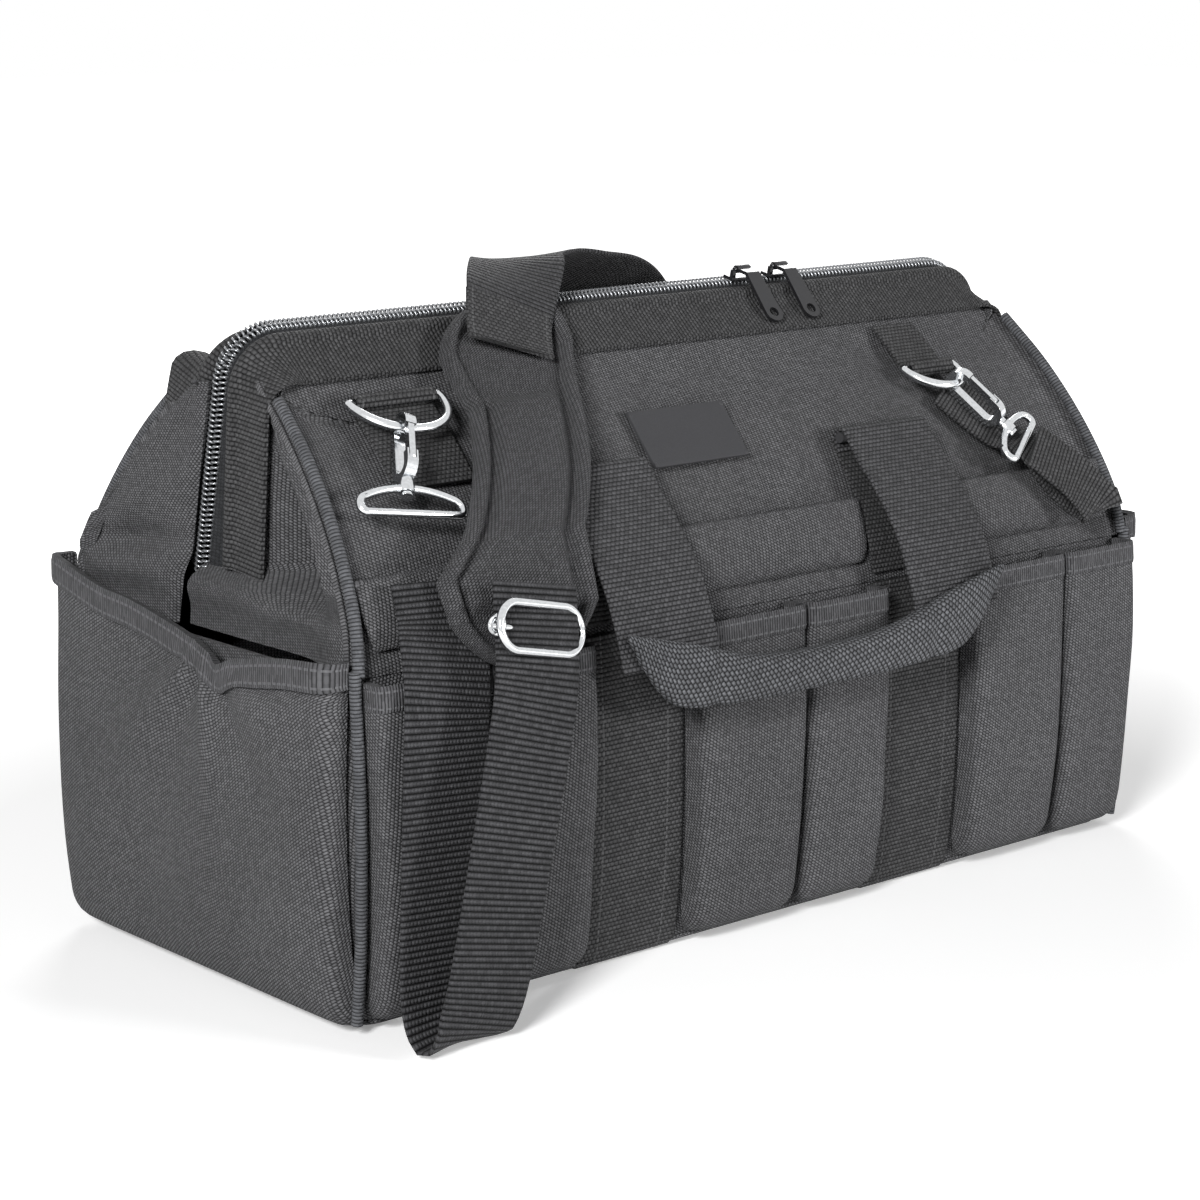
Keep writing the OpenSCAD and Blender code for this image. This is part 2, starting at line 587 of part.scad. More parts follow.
// A low sheet closes each end under the foot of the zip
module gusset() {
    low = crease_h + lean_h * front_fold_shares[0];
    high = mouth_h - zip_drop - tooth_w - tooth_h;
    leg_z = crease_h + lean_h * front_fold_shares[1];
    to_front() side_gusset(front_tilt, fold_in_shares, front_fold_shares);
    side_gusset(back_tilt, fold_out_shares, back_fold_shares);
    fold_sheet([[half_len * fold_in_shares[0], -knee_y(front_tilt, front_fold_shares, 0), low],
        [half_len * fold_out_shares[0], knee_y(back_tilt, back_fold_shares, 0), low],
        [rod_half - fold_r, -leg_edge(front_tilt, leg_z), high],
        [rod_half - fold_r, leg_edge(back_tilt, leg_z), high]]);
}
module left_gusset() color(fabric) mirror([1, 0, 0]) gusset();
module right_gusset() color(fabric) gusset();

// Slip pockets on the front upper panel, above the bellows pockets
module slip(x0, x1) {
    line = stretch(lean_line, slip_foot, slip_top);
    room = stretch(lean_line, slip_foot + pocket_t, slip_top + pocket_t);
    edge = stretch(lean_line, slip_top - tape_h, slip_top);
    difference() {
        union() {
            run_x(x0, x1) polygon(sheet(line, seam_gap, slip_out - tape_t));
            run_x(x0, x1) polygon(sheet(edge, slip_out - pocket_t, slip_out));
        }
        run_x(x0 + pocket_t, x1 - pocket_t) polygon(sheet(room, -over, slip_out - pocket_t - tape_t));
    }
}
slip_end = panel_half(slip_top) - piping_w - seam_gap;
module front_slip_pockets() color(fabric) to_front() {
    slip(-slip_end, -strip_out);
    slip(-strip_in, strip_in);
    slip(strip_out, slip_end);
}

// Label patch, left bare
label_x_share = -0.088;
module label_patch() color("#2c2c2f") to_front() translate([half_len * label_x_share, 0, 0])
    run_x(-label_w / 2, label_w / 2)
        polygon(sheet(stretch(lean_line, label_foot, label_top), seam_gap, seam_gap + label_t));

// Strap rings and tape ring, each on a bar in a webbing loop
ring_eye_r = ring_wire_r + pin_play;
ring_stand = ring_eye_r + webbing_t + seam_gap;
function bar_at(h) = at_height(lean_line, h) + facing(lean_line, h) * ring_stand;
module bar_line(h, x0, x1, r) translate([x0, bar_at(h)[0], bar_at(h)[1]]) rotate([0, 90, 0])
    cylinder(h = x1 - x0, r = r, $fn = facets);
module ring_loop(x, h, w) {
    difference() {
        bar_line(h, x - w / 2, x + w / 2, ring_eye_r + webbing_t);
        bar_line(h, x - w / 2 - over, x + w / 2 + over, ring_eye_r);
    }
}
patch_w = strap_w - 2 * seam_gap;
patch_foot_share = 0.5;
module ring_patch(x) {
    foot = crease_h + lean_h * patch_foot_share;
    difference() {
        union() {
            run_x(x - patch_w / 2, x + patch_w / 2)
                polygon(sheet(stretch(lean_line, foot, ring_h), seam_gap, seam_gap + webbing_t));
            bar_line(ring_h, x - patch_w / 2, x + patch_w / 2, ring_eye_r + webbing_t);
        }
        bar_line(ring_h, x - patch_w / 2 - over, x + patch_w / 2 + over, ring_eye_r);
    }
}
module front_ring_patch() color(webbing) to_front() ring_patch(-ring_x);
module back_ring_patch() color(webbing) ring_patch(ring_x);
module d_ring(x, h, w) {
    bow = w / 2 + ring_wire_r;
    translate([x, bar_at(h)[0], bar_at(h)[1]]) rotate([ring_slope, 0, 0]) {
        rotate([0, 90, 0]) cylinder(h = 2 * bow, r = ring_wire_r, center = true, $fn = facets);
        for (s = [-1, 1]) translate([s * bow, 0, 0]) sphere(ring_wire_r, $fn = facets);
        rotate([90, 0, 0]) rotate([0, 0, 180]) rotate_extrude(angle = 180, $fn = 64)
            translate([bow, 0]) circle(ring_wire_r, $fn = facets);
    }
}
tape_ring_w = tape_strap_w + over;
module front_d_ring() color(metal) to_front() d_ring(-ring_x, ring_h, strap_w);
module back_d_ring() color(metal) d_ring(ring_x, ring_h, strap_w);
module tape_d_ring() color(metal) to_front() d_ring(tape_ring_x, tape_ring_h, tape_ring_w);

// Snap hooks, drawn hanging from a ring's wire at the origin with the gate on the outer side
crown_in = hook_w / 2 - hook_stock;
crown_z = ring_wire_r + seam_gap - crown_in;
hook_foot = crown_z - hook_side - hook_w / 2;
gate_top = crown_z - over;
gate_pin_z = crown_z - hook_side + hook_stock / 2;
gate_y = hook_w / 2 - hook_stock / 2;
gate_pin_r = hook_stock / 4;
gate_w = hook_t * 0.56;
module loop_outline(r) polygon(concat(arc([0, crown_z], r, 0, 180, 20),
    arc([0, crown_z - hook_side], r, 180, 360, 20)));
module hook_body() {
    run_x(-hook_t / 2, hook_t / 2) difference() {
        loop_outline(hook_w / 2);
        loop_outline(crown_in);
        translate([crown_in - over, gate_pin_z + hook_stock / 2])
            square([hook_stock + 2 * over, gate_top - gate_pin_z - hook_stock / 2]);
        translate([crown_in - over, gate_pin_z - hook_stock / 2]) square([hook_stock + 2 * over, hook_stock]);
    }
    for (s = [-1, 1]) translate([s * (hook_t + gate_w + 2 * seam_gap) / 4, gate_y, gate_pin_z])
        cube([(hook_t - gate_w - 2 * seam_gap) / 2, hook_stock, hook_stock + over], center = true);
    translate([-hook_t / 2, gate_y, gate_pin_z]) rotate([0, 90, 0])
        cylinder(h = hook_t, r = gate_pin_r, $fn = facets);
    translate([0, 0, hook_foot - neck_h]) cylinder(h = neck_h + over, r = button_r, $fn = facets);
    translate([0, 0, hook_foot - neck_h - collar_h - 2 * seam_gap])
        cylinder(h = collar_h + 3 * seam_gap, r = post_r, $fn = facets);
    translate([0, 0, hook_foot - neck_h - collar_h - 2 * seam_gap - neck_h])
        cylinder(h = neck_h, r = button_r, $fn = facets);
}
module hook_gate() {
    difference() {
        union() {
            translate([-gate_w / 2, gate_y, gate_pin_z]) rotate([0, 90, 0])
                cylinder(h = gate_w, r = hook_stock / 2, $fn = facets);
            translate([-gate_w / 2, gate_y - hook_stock / 2, gate_pin_z])
                cube([gate_w, hook_stock, gate_top - seam_gap - gate_pin_z]);
        }
        translate([-gate_w, gate_y, gate_pin_z]) rotate([0, 90, 0])
            cylinder(h = 2 * gate_w, r = gate_pin_r + pin_play, $fn = facets);
    }
}
hub_z = hook_foot - neck_h - seam_gap - collar_h / 2;
// The wire of a bail is a low arch with round corners over a straight bar
bail_arch = 25;
function bail_reach(w) = w / 2 + bail_play + bail_wire_r;
function arch_r(w) = bail_bend + (bail_reach(w) - bail_bend) / sin(bail_arch);
function corner_z(w) = (arch_r(w) - bail_bend) * cos(bail_arch) - arch_r(w);
function bar_z(w) = corner_z(w) - bail_leg - bar_bend;
module wire_arc(c, bend, r, a0, a1) translate([c[0], 0, c[1]]) rotate([90, 0, 0]) rotate([0, 0, a0])
    rotate_extrude(angle = a1 - a0, $fn = 64) translate([bend, 0]) circle(r, $fn = facets);
module bail_wire(w) {
    reach = bail_reach(w);
    wire_arc([0, -arch_r(w)], arch_r(w), bail_wire_r, 90 - bail_arch, 90 + bail_arch);
    mirrored_x() {
        wire_arc([reach - bail_bend, corner_z(w)], bail_bend, bail_wire_r, 0, 90 - bail_arch);
        translate([reach, 0, corner_z(w) - bail_leg]) cylinder(h = bail_leg, r = bail_wire_r, $fn = facets);
        wire_arc([reach - bar_bend, corner_z(w) - bail_leg], bar_bend, bail_wire_r, 270, 360);
    }
    translate([bar_bend - reach, 0, bar_z(w)]) rotate([0, 90, 0])
        cylinder(h = 2 * (reach - bar_bend), r = bail_wire_r, $fn = facets);
}
module hook_bail(w, roll) {
    translate([0, 0, hub_z]) difference() {
        union() {
            cylinder(h = collar_h, r = button_r + bail_wire_r / 2, center = true, $fn = facets);
            rotate([0, roll, 0]) bail_wire(w);
        }
        cylinder(h = 2 * collar_h, r = post_r + pin_play, center = true, $fn = facets);
    }
}
// Each hook hangs from a point round the bow of its ring and leans the same way
front_hook_turn = 25;
tape_hook_turn = -25;
back_hook_turn = 25;
strap_bail_roll = -14;
tape_bail_roll = -10;
function hook_spot(x, h, w, turn) = [x, bar_at(h)[0], bar_at(h)[1]]
    + turn_x(ring_slope, turn_y(turn, [0, 0, -w / 2 - ring_wire_r]));
module at_hook(x, h, w, turn) translate(hook_spot(x, h, w, turn)) rotate([hook_slope, 0, 0])
    rotate([0, turn, 0]) children();
module at_front_hook() to_front() at_hook(-ring_x, ring_h, strap_w, front_hook_turn) children();
module at_tape_hook() to_front() at_hook(tape_ring_x, tape_ring_h, tape_ring_w, tape_hook_turn) children();
module at_back_hook() at_hook(ring_x, ring_h, strap_w, back_hook_turn) children();
module front_hook() color(metal) at_front_hook() hook_body();
module front_hook_gate() color(metal) at_front_hook() hook_gate();
module front_hook_bail() color(metal) at_front_hook() hook_bail(strap_w, strap_bail_roll);
module tape_hook() color(metal) at_tape_hook() hook_body();
module tape_hook_gate() color(metal) at_tape_hook() hook_gate();
module tape_hook_bail() color(metal) at_tape_hook() hook_bail(tape_strap_w, tape_bail_roll);
module back_hook() color(metal) at_back_hook() hook_body();
module back_hook_gate() color(metal) at_back_hook() hook_gate();
module back_hook_bail() color(metal) at_back_hook() hook_bail(strap_w, strap_bail_roll);

// Tape-holder strap: a short webbing from the band to the ring, and a loop that hangs below it
module tape_strap() {
    top = lean_line[len(lean_line) - 1][1] - 2 * band_t;
    color(webbing) to_front() difference() {
        union() {
            run_x(tape_ring_x - tape_strap_w / 2, tape_ring_x + tape_strap_w / 2)
                polygon(sheet(stretch(lean_line, tape_ring_h, top), seam_gap, seam_gap + webbing_t));
            bar_line(tape_ring_h, tape_ring_x - tape_strap_w / 2, tape_ring_x + tape_strap_w / 2,
                ring_eye_r + webbing_t);
        }
        bar_line(tape_ring_h, tape_ring_x - tape_strap_w, tape_ring_x + tape_strap_w, ring_eye_r);
    }
}
function on_lean(x, z, off) = let (p = at_height(lean_line, z) + facing(lean_line, z) * off)
    [x, p[0], p[1]];
// Places along the tape loop: shares of half the length, the mouth height and the slip pocket's reach
tape_loop_shares = [[0.63, 0.806, 0.17], [0.67, 0.765, 0.17], [0.715, 0.72, 0.45], [0.75, 0.682, 1.3],
    [0.81, 0.628, 1.25], [0.845, 0.597, 1.4], [0.857, 0.582, 1.75], [0.852, 0.588, 2.15],
    [0.81, 0.624, 2.1], [0.76, 0.66, 1.98], [0.727, 0.685, 1.9]];
module tape_loop() {
    color(webbing) to_front() band([for (s = tape_loop_shares)
        [on_lean(s[0] * half_len, s[1] * mouth_h, s[2] * slip_out), [1, 0, 0]]], tape_strap_w, strap_t);
}

// Handles: sewn webs on the panels, a fold that the free legs hang from, and the padded grip
fold_c = at_height(lean_line, fold_h)
    + facing(lean_line, fold_h) * (fold_pin_r + 2 * webbing_t + 3 * seam_gap);
lug_w = webbing_w * 0.2;
knuckle_r = fold_pin_r + pin_play + webbing_t;
module fold_line(x0, x1, r) translate([x0, fold_c[0], fold_c[1]]) rotate([0, 90, 0])
    cylinder(h = x1 - x0, r = r, $fn = facets);
module handle_webs() {
    web = stretch(lean_line, crease_h + over, fold_h);
    n = facing(lean_line, fold_h);
    side = [-n[1], n[0]] * webbing_t;
    root = at_height(lean_line, fold_h) + n * (seam_gap + webbing_t / 2);
    for (s = [-1, 1]) difference() {
        union() {
            run_x(s * strip_x - webbing_w / 2, s * strip_x + webbing_w / 2)
                polygon(sheet(web, seam_gap, seam_gap + webbing_t));
            for (k = [-1, 1]) {
                x = s * strip_x + k * (webbing_w - lug_w) / 2;
                fold_line(x - lug_w / 2, x + lug_w / 2, knuckle_r);
                run_x(x - lug_w / 2, x + lug_w / 2)
                    polygon([root - side, fold_c - side, fold_c + side, root + side]);
            }
        }
        fold_line(s * strip_x - webbing_w, s * strip_x + webbing_w, fold_pin_r + pin_play);
    }
}
module handle_pins() for (s = [-1, 1])
    fold_line(s * strip_x - webbing_w / 2, s * strip_x + webbing_w / 2, fold_pin_r);
// Line of a handle leg: outward run and drop as shares of the way from the fold to the grip
leg_shares = [[0, 0], [0.34, 0.2], [0.66, 0.45], [0.86, 0.75], [0.97, 1]];
module handle(shift) {
    way = [grip_y - fold_c[0], grip_h - fold_c[1]];
    line = flip([for (s = leg_shares) fold_c + [way[0] * s[0], way[1] * s[1]]]);
    neck = webbing_w / 2 - lug_w - seam_gap;
    foot_x = grip_len / 2;
    curve_r = (pow(grip_len / 2, 2) + pow(grip_sag, 2)) / (2 * grip_sag);
    half_turn = asin(grip_len / 2 / curve_r);
    shoulder = fold_c[1] - knuckle_r - webbing_t;
    difference() {
        union() {
            for (s = [-1, 1]) {
                fold_line(s * strip_x - neck, s * strip_x + neck, knuckle_r);
                intersection() {
                    run_x(-body_len, body_len) polygon(sheet(line, -webbing_t, webbing_t));
                    run_y(0, body_dep) polygon([
                        [s * strip_x - neck, fold_c[1] + over], [s * strip_x - neck, shoulder],
                        [s * strip_x - webbing_w / 2, shoulder - over],
                        [s * strip_x - webbing_w / 2, shoulder - webbing_w / 2],
                        [s * foot_x + shift - leg_foot_w / 2, grip_h],
                        [s * foot_x + shift + leg_foot_w / 2, grip_h],
                        [s * strip_x + webbing_w / 2, shoulder - webbing_w / 2],
                        [s * strip_x + webbing_w / 2, shoulder - over],
                        [s * strip_x + neck, shoulder], [s * strip_x + neck, fold_c[1] + over]]);
                }
                translate([s * foot_x + shift, grip_y, grip_h]) sphere(grip_r, $fn = facets);
            }
            translate([shift, grip_y, grip_h - grip_sag + curve_r]) rotate([90, 0, 0])
                rotate([0, 0, 270 - half_turn]) rotate_extrude(angle = 2 * half_turn, $fn = 180)
                    translate([curve_r, 0]) circle(grip_r, $fn = facets);
        }
        fold_line(-half_len, half_len, fold_pin_r + pin_play);
    }
}
module front_handle_webs() color(webbing) to_front() handle_webs();
module back_handle_webs() color(webbing) handle_webs();
module front_handle_pins() color(webbing) to_front() handle_pins();
module back_handle_pins() color(webbing) handle_pins();
module front_handle() color(webbing) to_front() handle(grip_shift);
module back_handle() color(webbing) handle(0);

// Shoulder pad: a bowed pad over the front roof of the bag, wider at its lower end
pad_line_shares = [[0.11, 1.003], [0.255, 0.946], [0.424, 0.896], [0.63, 0.845], [0.82, 0.79],
    [0.95, 0.74], [1.03, 0.696], [1.08, 0.648], [1.14, 0.588], [1.205, 0.524]];
pad_left_shares = [[-0.45, 1.04], [-0.57, 0.93], [-0.595, 0.86], [-0.66, 0.8], [-0.75, 0.72],
    [-0.84, 0.66], [-0.83, 0.6], [-0.77, 0.52]];
pad_right_shares = [[-0.6, 0.52], [-0.51, 0.6], [-0.502, 0.7], [-0.43, 0.77], [-0.34, 0.86],
    [-0.26, 0.93], [-0.2, 1.04]];
module shoulder_pad() {
    line = flip([for (s = pad_line_shares) [s[0] * half_dep, s[1] * mouth_h]]);
    color(fabric) to_front() intersection() {
        run_x(-half_len, 0) polygon(sheet(line, 0, pad_t));
        run_y(0, body_dep) polygon([for (s = concat(pad_left_shares, pad_right_shares))
            [s[0] * half_len, s[1] * mouth_h]]);
    }
}

// The strap hangs from the front hook nearly to the floor and comes back up to the pad
function bail_bar(x, h, w, turn, roll) = hook_spot(x, h, w, turn) + turn_x(hook_slope, turn_y(turn,
    [0, 0, hub_z] + turn_y(roll, [0, 0, bar_z(w)])));
front_bar = bail_bar(-ring_x, ring_h, strap_w, front_hook_turn, strap_bail_roll);
strap_loop_shares = [[-0.825, 1.02, 0.66], [-0.83, 1.08, 0.6], [-0.84, 1.13, 0.56], [-0.85, 1.175, 0.52],
    [-0.865, 1.21, 0.45], [-0.885, 1.24, 0.25], [-0.9, 1.27, 0.09], [-0.9, 1.31, 0.03],
    [-0.895, 1.36, 0.014], [-0.885, 1.42, 0.03], [-0.86, 1.45, 0.1], [-0.815, 1.45, 0.26],
    [-0.76, 1.415, 0.42], [-0.72, 1.365, 0.53], [-0.69, 1.265, 0.655]];
function route_points(shares) = [for (s = shares) [s[0] * half_len, s[1] * half_dep, s[2] * mouth_h]];
// A strap lies against the outer side of a bail's bar and falls away from it at a steep slope
strap_fall = 25;
function strap_start(bar) = bar
    + [0, cos(strap_fall), sin(strap_fall)] * (bail_wire_r + 2 * seam_gap + strap_t / 2);
function bar_way(turn) = turn_x(hook_slope, turn_y(turn + strap_bail_roll, [1, 0, 0]));
module strap_loop() {
    color(webbing) to_front() band(concat([[strap_start(front_bar), bar_way(front_hook_turn)]],
        [for (p = route_points(strap_loop_shares)) [p, [1, 0, 0]]]), strap_w, strap_t);
}

// Wire slider that sets the length of the strap: two outer bars in front, the middle bar behind
module strap_slider() {
    w = strap_w / 2 + slide_wire_r + bail_play;
    h = slide_h / 2;
    front = slide_wire_r + strap_t / 2 + seam_gap;
    ends = route_points([for (i = [2, 1]) strap_loop_shares[len(strap_loop_shares) - i]]);
    run = ends[1] - ends[0];
    color(metal) to_front() translate((ends[0] + ends[1]) / 2) rotate([atan2(-run[1], run[2]), 0, 0])
        rotate([0, atan2(run[0], norm([run[1], run[2]])), 0]) {
        for (s = [-1, 1]) {
            rod_between([-w, front, s * h], [w, front, s * h], slide_wire_r);
            rod_between([s * w, front, -h], [s * w, front, h], slide_wire_r);
            for (k = [-1, 1]) translate([s * w, front, k * h]) sphere(slide_wire_r, $fn = facets);
            rod_between([s * w, front, 0], [s * w, -front, 0], slide_wire_r);
            translate([s * w, -front, 0]) sphere(slide_wire_r, $fn = facets);
        }
        rod_between([-w, -front, 0], [w, -front, 0], slide_wire_r);
    }
}

// The strap runs on from the pad over the mouth, turns along the back roof and ends at the back hook
back_bar = bail_bar(ring_x, ring_h, strap_w, back_hook_turn, strap_bail_roll);
over_shares = [[-0.37, -0.41, 0.985], [-0.345, -0.28, 1.025], [-0.31, -0.13, 1.052],
    [-0.27, 0.02, 1.06], [-0.22, 0.15, 1.056], [-0.14, 0.25, 1.045], [-0.03, 0.32, 1.025],
    [0.1, 0.42, 0.995], [0.23, 0.6, 0.945], [0.34, 0.78, 0.88], [0.43, 0.95, 0.8], [0.49, 1.1, 0.715],
    [0.535, 1.2, 0.64], [0.56, 1.25, 0.585], [0.575, 1.21, 0.565], [0.585, 1.13, 0.575],
    [0.59, 1.06, 0.61], [0.592, 0.985, 0.67]];
// Direction of the strap's width at each of those places
over_side_shares = [[1, 0, 0], [1, -0.1, 0], [1, -0.2, 0], [1, -0.35, 0], [0.9, -0.6, 0.1],
    [0.8, -0.7, 0.2], [0.7, -0.8, 0.35], [0.6, -0.7, 0.5], [0.6, -0.6, 0.6], [0.7, -0.5, 0.6],
    [0.8, -0.35, 0.5], [0.9, -0.2, 0.35], [1, -0.1, 0.2], [1, 0, 0.1], [1, 0, 0], [1, 0, 0], [1, 0, 0],
    [1, 0, 0]];
module strap_over_mouth() {
    places = route_points(over_shares);
    color(webbing) band(concat([for (i = [0:len(places) - 1]) [places[i], over_side_shares[i]]],
        [[strap_start(back_bar), bar_way(back_hook_turn)]]), strap_w, strap_t);
}

base_board();
base_panel();
base_straps();
front_panel();
back_panel();
left_end_panel();
right_end_panel();
front_left_pockets();
front_middle_pockets();
front_right_pockets();
left_end_pocket();
right_end_pocket();
back_pockets();
corner_piping();
left_gusset();
right_gusset();
strap_loop();
front_upper_panel();
front_frame_rod();
front_frame_sleeve();
front_zip_row();
front_slip_pockets();
label_patch();
front_ring_patch();
front_handle_webs();
front_mouth_piping();
tape_strap();
front_d_ring();
front_hook();
front_hook_gate();
front_hook_bail();
tape_d_ring();
tape_hook();
tape_hook_gate();
tape_hook_bail();
tape_loop();
front_handle_pins();
front_handle();
zip_slider_left();
zip_slider_right();
zip_pull_left();
zip_pull_right();
back_upper_panel();
back_frame_rod();
back_frame_sleeve();
back_zip_row();
back_ring_patch();
back_handle_webs();
back_mouth_piping();
back_handle_pins();
back_handle();
back_d_ring();
back_hook();
back_hook_gate();
back_hook_bail();
shoulder_pad();
strap_slider();
strap_over_mouth();
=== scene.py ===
# %% [markdown]
# # A wide-mouth tool bag, dressed over its CAD frame
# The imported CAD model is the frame: it holds every body, joint and size of the bag. This lesson adds
# what a camera sees on top of it: sewn cloth, webbing, a coil zip and bright hooks. The new pieces are
# placed by the same measures as their solids. Grips, gussets and pocket tapes have more form than theirs.

# %% Start with the frame
from math import asin, copysign, cos, exp, pi, radians, sin, sqrt, tan

import bpy
import numpy as np
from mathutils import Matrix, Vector, noise


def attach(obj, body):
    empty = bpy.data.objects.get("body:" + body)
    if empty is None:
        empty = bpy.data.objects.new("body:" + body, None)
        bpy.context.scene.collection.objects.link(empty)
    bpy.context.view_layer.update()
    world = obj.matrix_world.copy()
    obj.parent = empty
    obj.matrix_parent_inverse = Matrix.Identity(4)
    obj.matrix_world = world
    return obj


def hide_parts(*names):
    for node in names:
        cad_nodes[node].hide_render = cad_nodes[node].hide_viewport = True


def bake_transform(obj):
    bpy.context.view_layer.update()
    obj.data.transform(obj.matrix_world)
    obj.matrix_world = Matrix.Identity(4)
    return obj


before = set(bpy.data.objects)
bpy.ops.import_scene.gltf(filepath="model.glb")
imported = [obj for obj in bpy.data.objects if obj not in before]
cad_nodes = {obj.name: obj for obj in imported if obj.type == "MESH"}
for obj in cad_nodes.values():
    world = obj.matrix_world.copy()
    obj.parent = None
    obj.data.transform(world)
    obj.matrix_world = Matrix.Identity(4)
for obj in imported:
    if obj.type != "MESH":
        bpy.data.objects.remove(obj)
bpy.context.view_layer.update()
bpy.ops.object.select_all(action="DESELECT")

# %% [markdown]
# ## The camera
# The photograph was taken from the front left and a little above. A long lens keeps the long side of the
# bag nearly straight. Setting the view direction with `to_track_quat` is easier to read than three angles.

# %% Camera at the photograph's angle
AZIMUTH, ELEVATION = radians(41.06), radians(12.14)
look = Vector((sin(AZIMUTH) * cos(ELEVATION), cos(AZIMUTH) * cos(ELEVATION),
               -sin(ELEVATION)))
camera = bpy.data.objects.new("photo_camera", bpy.data.cameras.new("photo_camera"))
bpy.context.collection.objects.link(camera)
camera.location = (-0.838, -0.945, 0.390)
camera.rotation_euler = look.to_track_quat("-Z", "Y").to_euler()
camera.data.lens = 91.8
camera.data.sensor_width = 36
bpy.context.scene.camera = camera
bpy.context.scene.view_settings.view_transform = "Standard"

# %% [markdown]
# ## Helpers for nodes
# The materials, the floor and the world are node trees. A small class adds a node and fills its sockets.


# %% Helpers for nodes
WHITE = (1, 1, 1, 1)


def linear(code):
    """A colour as written in a paint program, as the linear numbers that shaders take."""
    parts = [int(code[i:i + 2], 16) / 255 for i in (1, 3, 5)]
    return tuple(c / 12.92 if c <= 0.04045 else ((c + 0.055) / 1.055) ** 2.4 for c in parts) + (1,)


class Wiring:
    """Adds nodes to a tree and joins them up."""

    def __init__(self, node_tree):
        self.tree = node_tree

    def put(self, kind, sockets=None, **settings):
        made = self.tree.nodes.new(kind if kind.startswith("Node") else "ShaderNode" + kind)
        for key, value in settings.items():
            setattr(made, key, value)
        for key, value in (sockets or {}).items():
            if isinstance(value, bpy.types.NodeSocket):
                self.tree.links.new(value, made.inputs[key])
            else:
                made.inputs[key].default_value = value
        return made

    def out(self, kind, sockets=None, **settings):
        """The first output of a new node."""
        return self.put(kind, sockets, **settings).outputs[0]

    def math(self, operation, *values):
        return self.out("Math", dict(enumerate(values)), operation=operation)

    def remap(self, value, low, high, to_low, to_high):
        return self.out("MapRange", {0: value, 1: low, 2: high, 3: to_low, 4: to_high})

    def specks(self, scale, detail):
        place = self.put("TexCoord").outputs["Object"]
        return self.out("TexNoise", {"Vector": place, "Scale": scale, "Detail": detail})

    def blend(self, factor, a, b, kind="MIX"):
        made = self.put("Mix", {0: factor, 6: a, 7: b}, data_type="RGBA", blend_type=kind)
        return made.outputs[2]

    def tinted(self, colour, tone):
        """A colour made darker or lighter by a number round 1."""
        tint = self.out("CombineColor", {0: tone, 1: tone, 2: tone})
        return self.blend(1.0, colour, tint, "MULTIPLY")


def new_material(name):
    """An empty material and the wiring of its tree."""
    made = bpy.data.materials.new(name)
    made.use_nodes = True
    made.node_tree.nodes.clear()
    return made, Wiring(made.node_tree)


# %% [markdown]
# ## Light
# A product studio: a soft lamp from the upper left, a weaker one from the front right, one behind the bag,
# and a pale room. The world is white only for the camera and for reflections, so the background is white
# without pouring more light on dark cloth.


# %% Lamps and world
BAG_MIDDLE = (0, 0, 0.12)
ROOM_LIGHT, BACKDROP_LIGHT = 0.09, 1.0


def lamp(name, place, aim, size, watts):
    data = bpy.data.lights.new(name, "AREA")
    data.shape = "DISK"
    data.size = size
    data.energy = watts
    made = bpy.data.objects.new(name, data)
    bpy.context.collection.objects.link(made)
    made.location = place
    made.rotation_euler = (Vector(aim) - Vector(place)).to_track_quat("-Z", "Y").to_euler()


lamp("key_lamp", (-1.7, -1.1, 1.05), BAG_MIDDLE, 0.55, 54)
lamp("front_lamp", (0.9, -2.0, 0.55), BAG_MIDDLE, 0.6, 32)
lamp("back_lamp", (1.3, 1.6, 1.2), BAG_MIDDLE, 1.0, 20)

world = bpy.data.worlds.new("pale_room")
bpy.context.scene.world = world
world.use_nodes = True
world.node_tree.nodes.clear()
w = Wiring(world.node_tree)
rays = w.put("LightPath").outputs
seen = w.math("MAXIMUM", rays["Is Camera Ray"], rays["Is Glossy Ray"])
seen = w.math("MAXIMUM", seen, rays["Is Transmission Ray"])
room, backdrop = (w.out("Background", {"Color": WHITE, "Strength": strength})
                  for strength in (ROOM_LIGHT, BACKDROP_LIGHT))
mix = w.out("MixShader", {0: seen, 1: room, 2: backdrop})
w.put("OutputWorld", {"Surface": mix})

# %% [markdown]
# ## Measures of the bag
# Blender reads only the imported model, so the few lines that the solids follow are written here again, in
# millimetres. Both long sides are drawn as the front, where outward is -Y, and mirrored for the back.

# %% Outlines of the walls
MM = 0.001
HALF_LEN, HALF_DEP, MOUTH_H, CREASE_H = 212.0, 91.0, 250.0, 135.0
WALL_T, SEAM, WEB_T, WEB_W = 2.4, 0.3, 1.5, 50.0
STRIP_X, STRAP_W, STRAP_T = 79.0, 38.0, 1.8
ROD_IN, ROD_H, SLEEVE_R = 8.5, 243.5, 4.0
LOWER_LINE = [(88.0, -1), (88.7, 4.05), (92.1, 37.8), (93.3, 81), (92.1, 114.75), (91, 133), (90.6, 152)]
END_LINE = [(208.4, -1), (208.8, 4.05), (212.8, 40.5), (213.7, 87.75), (212, 133), (211.6, 152)]
LEAN_LINE = [(91, 133), (91, 135), (86.45, 152.25), (76.4, 171.8), (63.7, 190.2), (49.6, 206.3),
             (35, 219.5), (20, 232.2)]


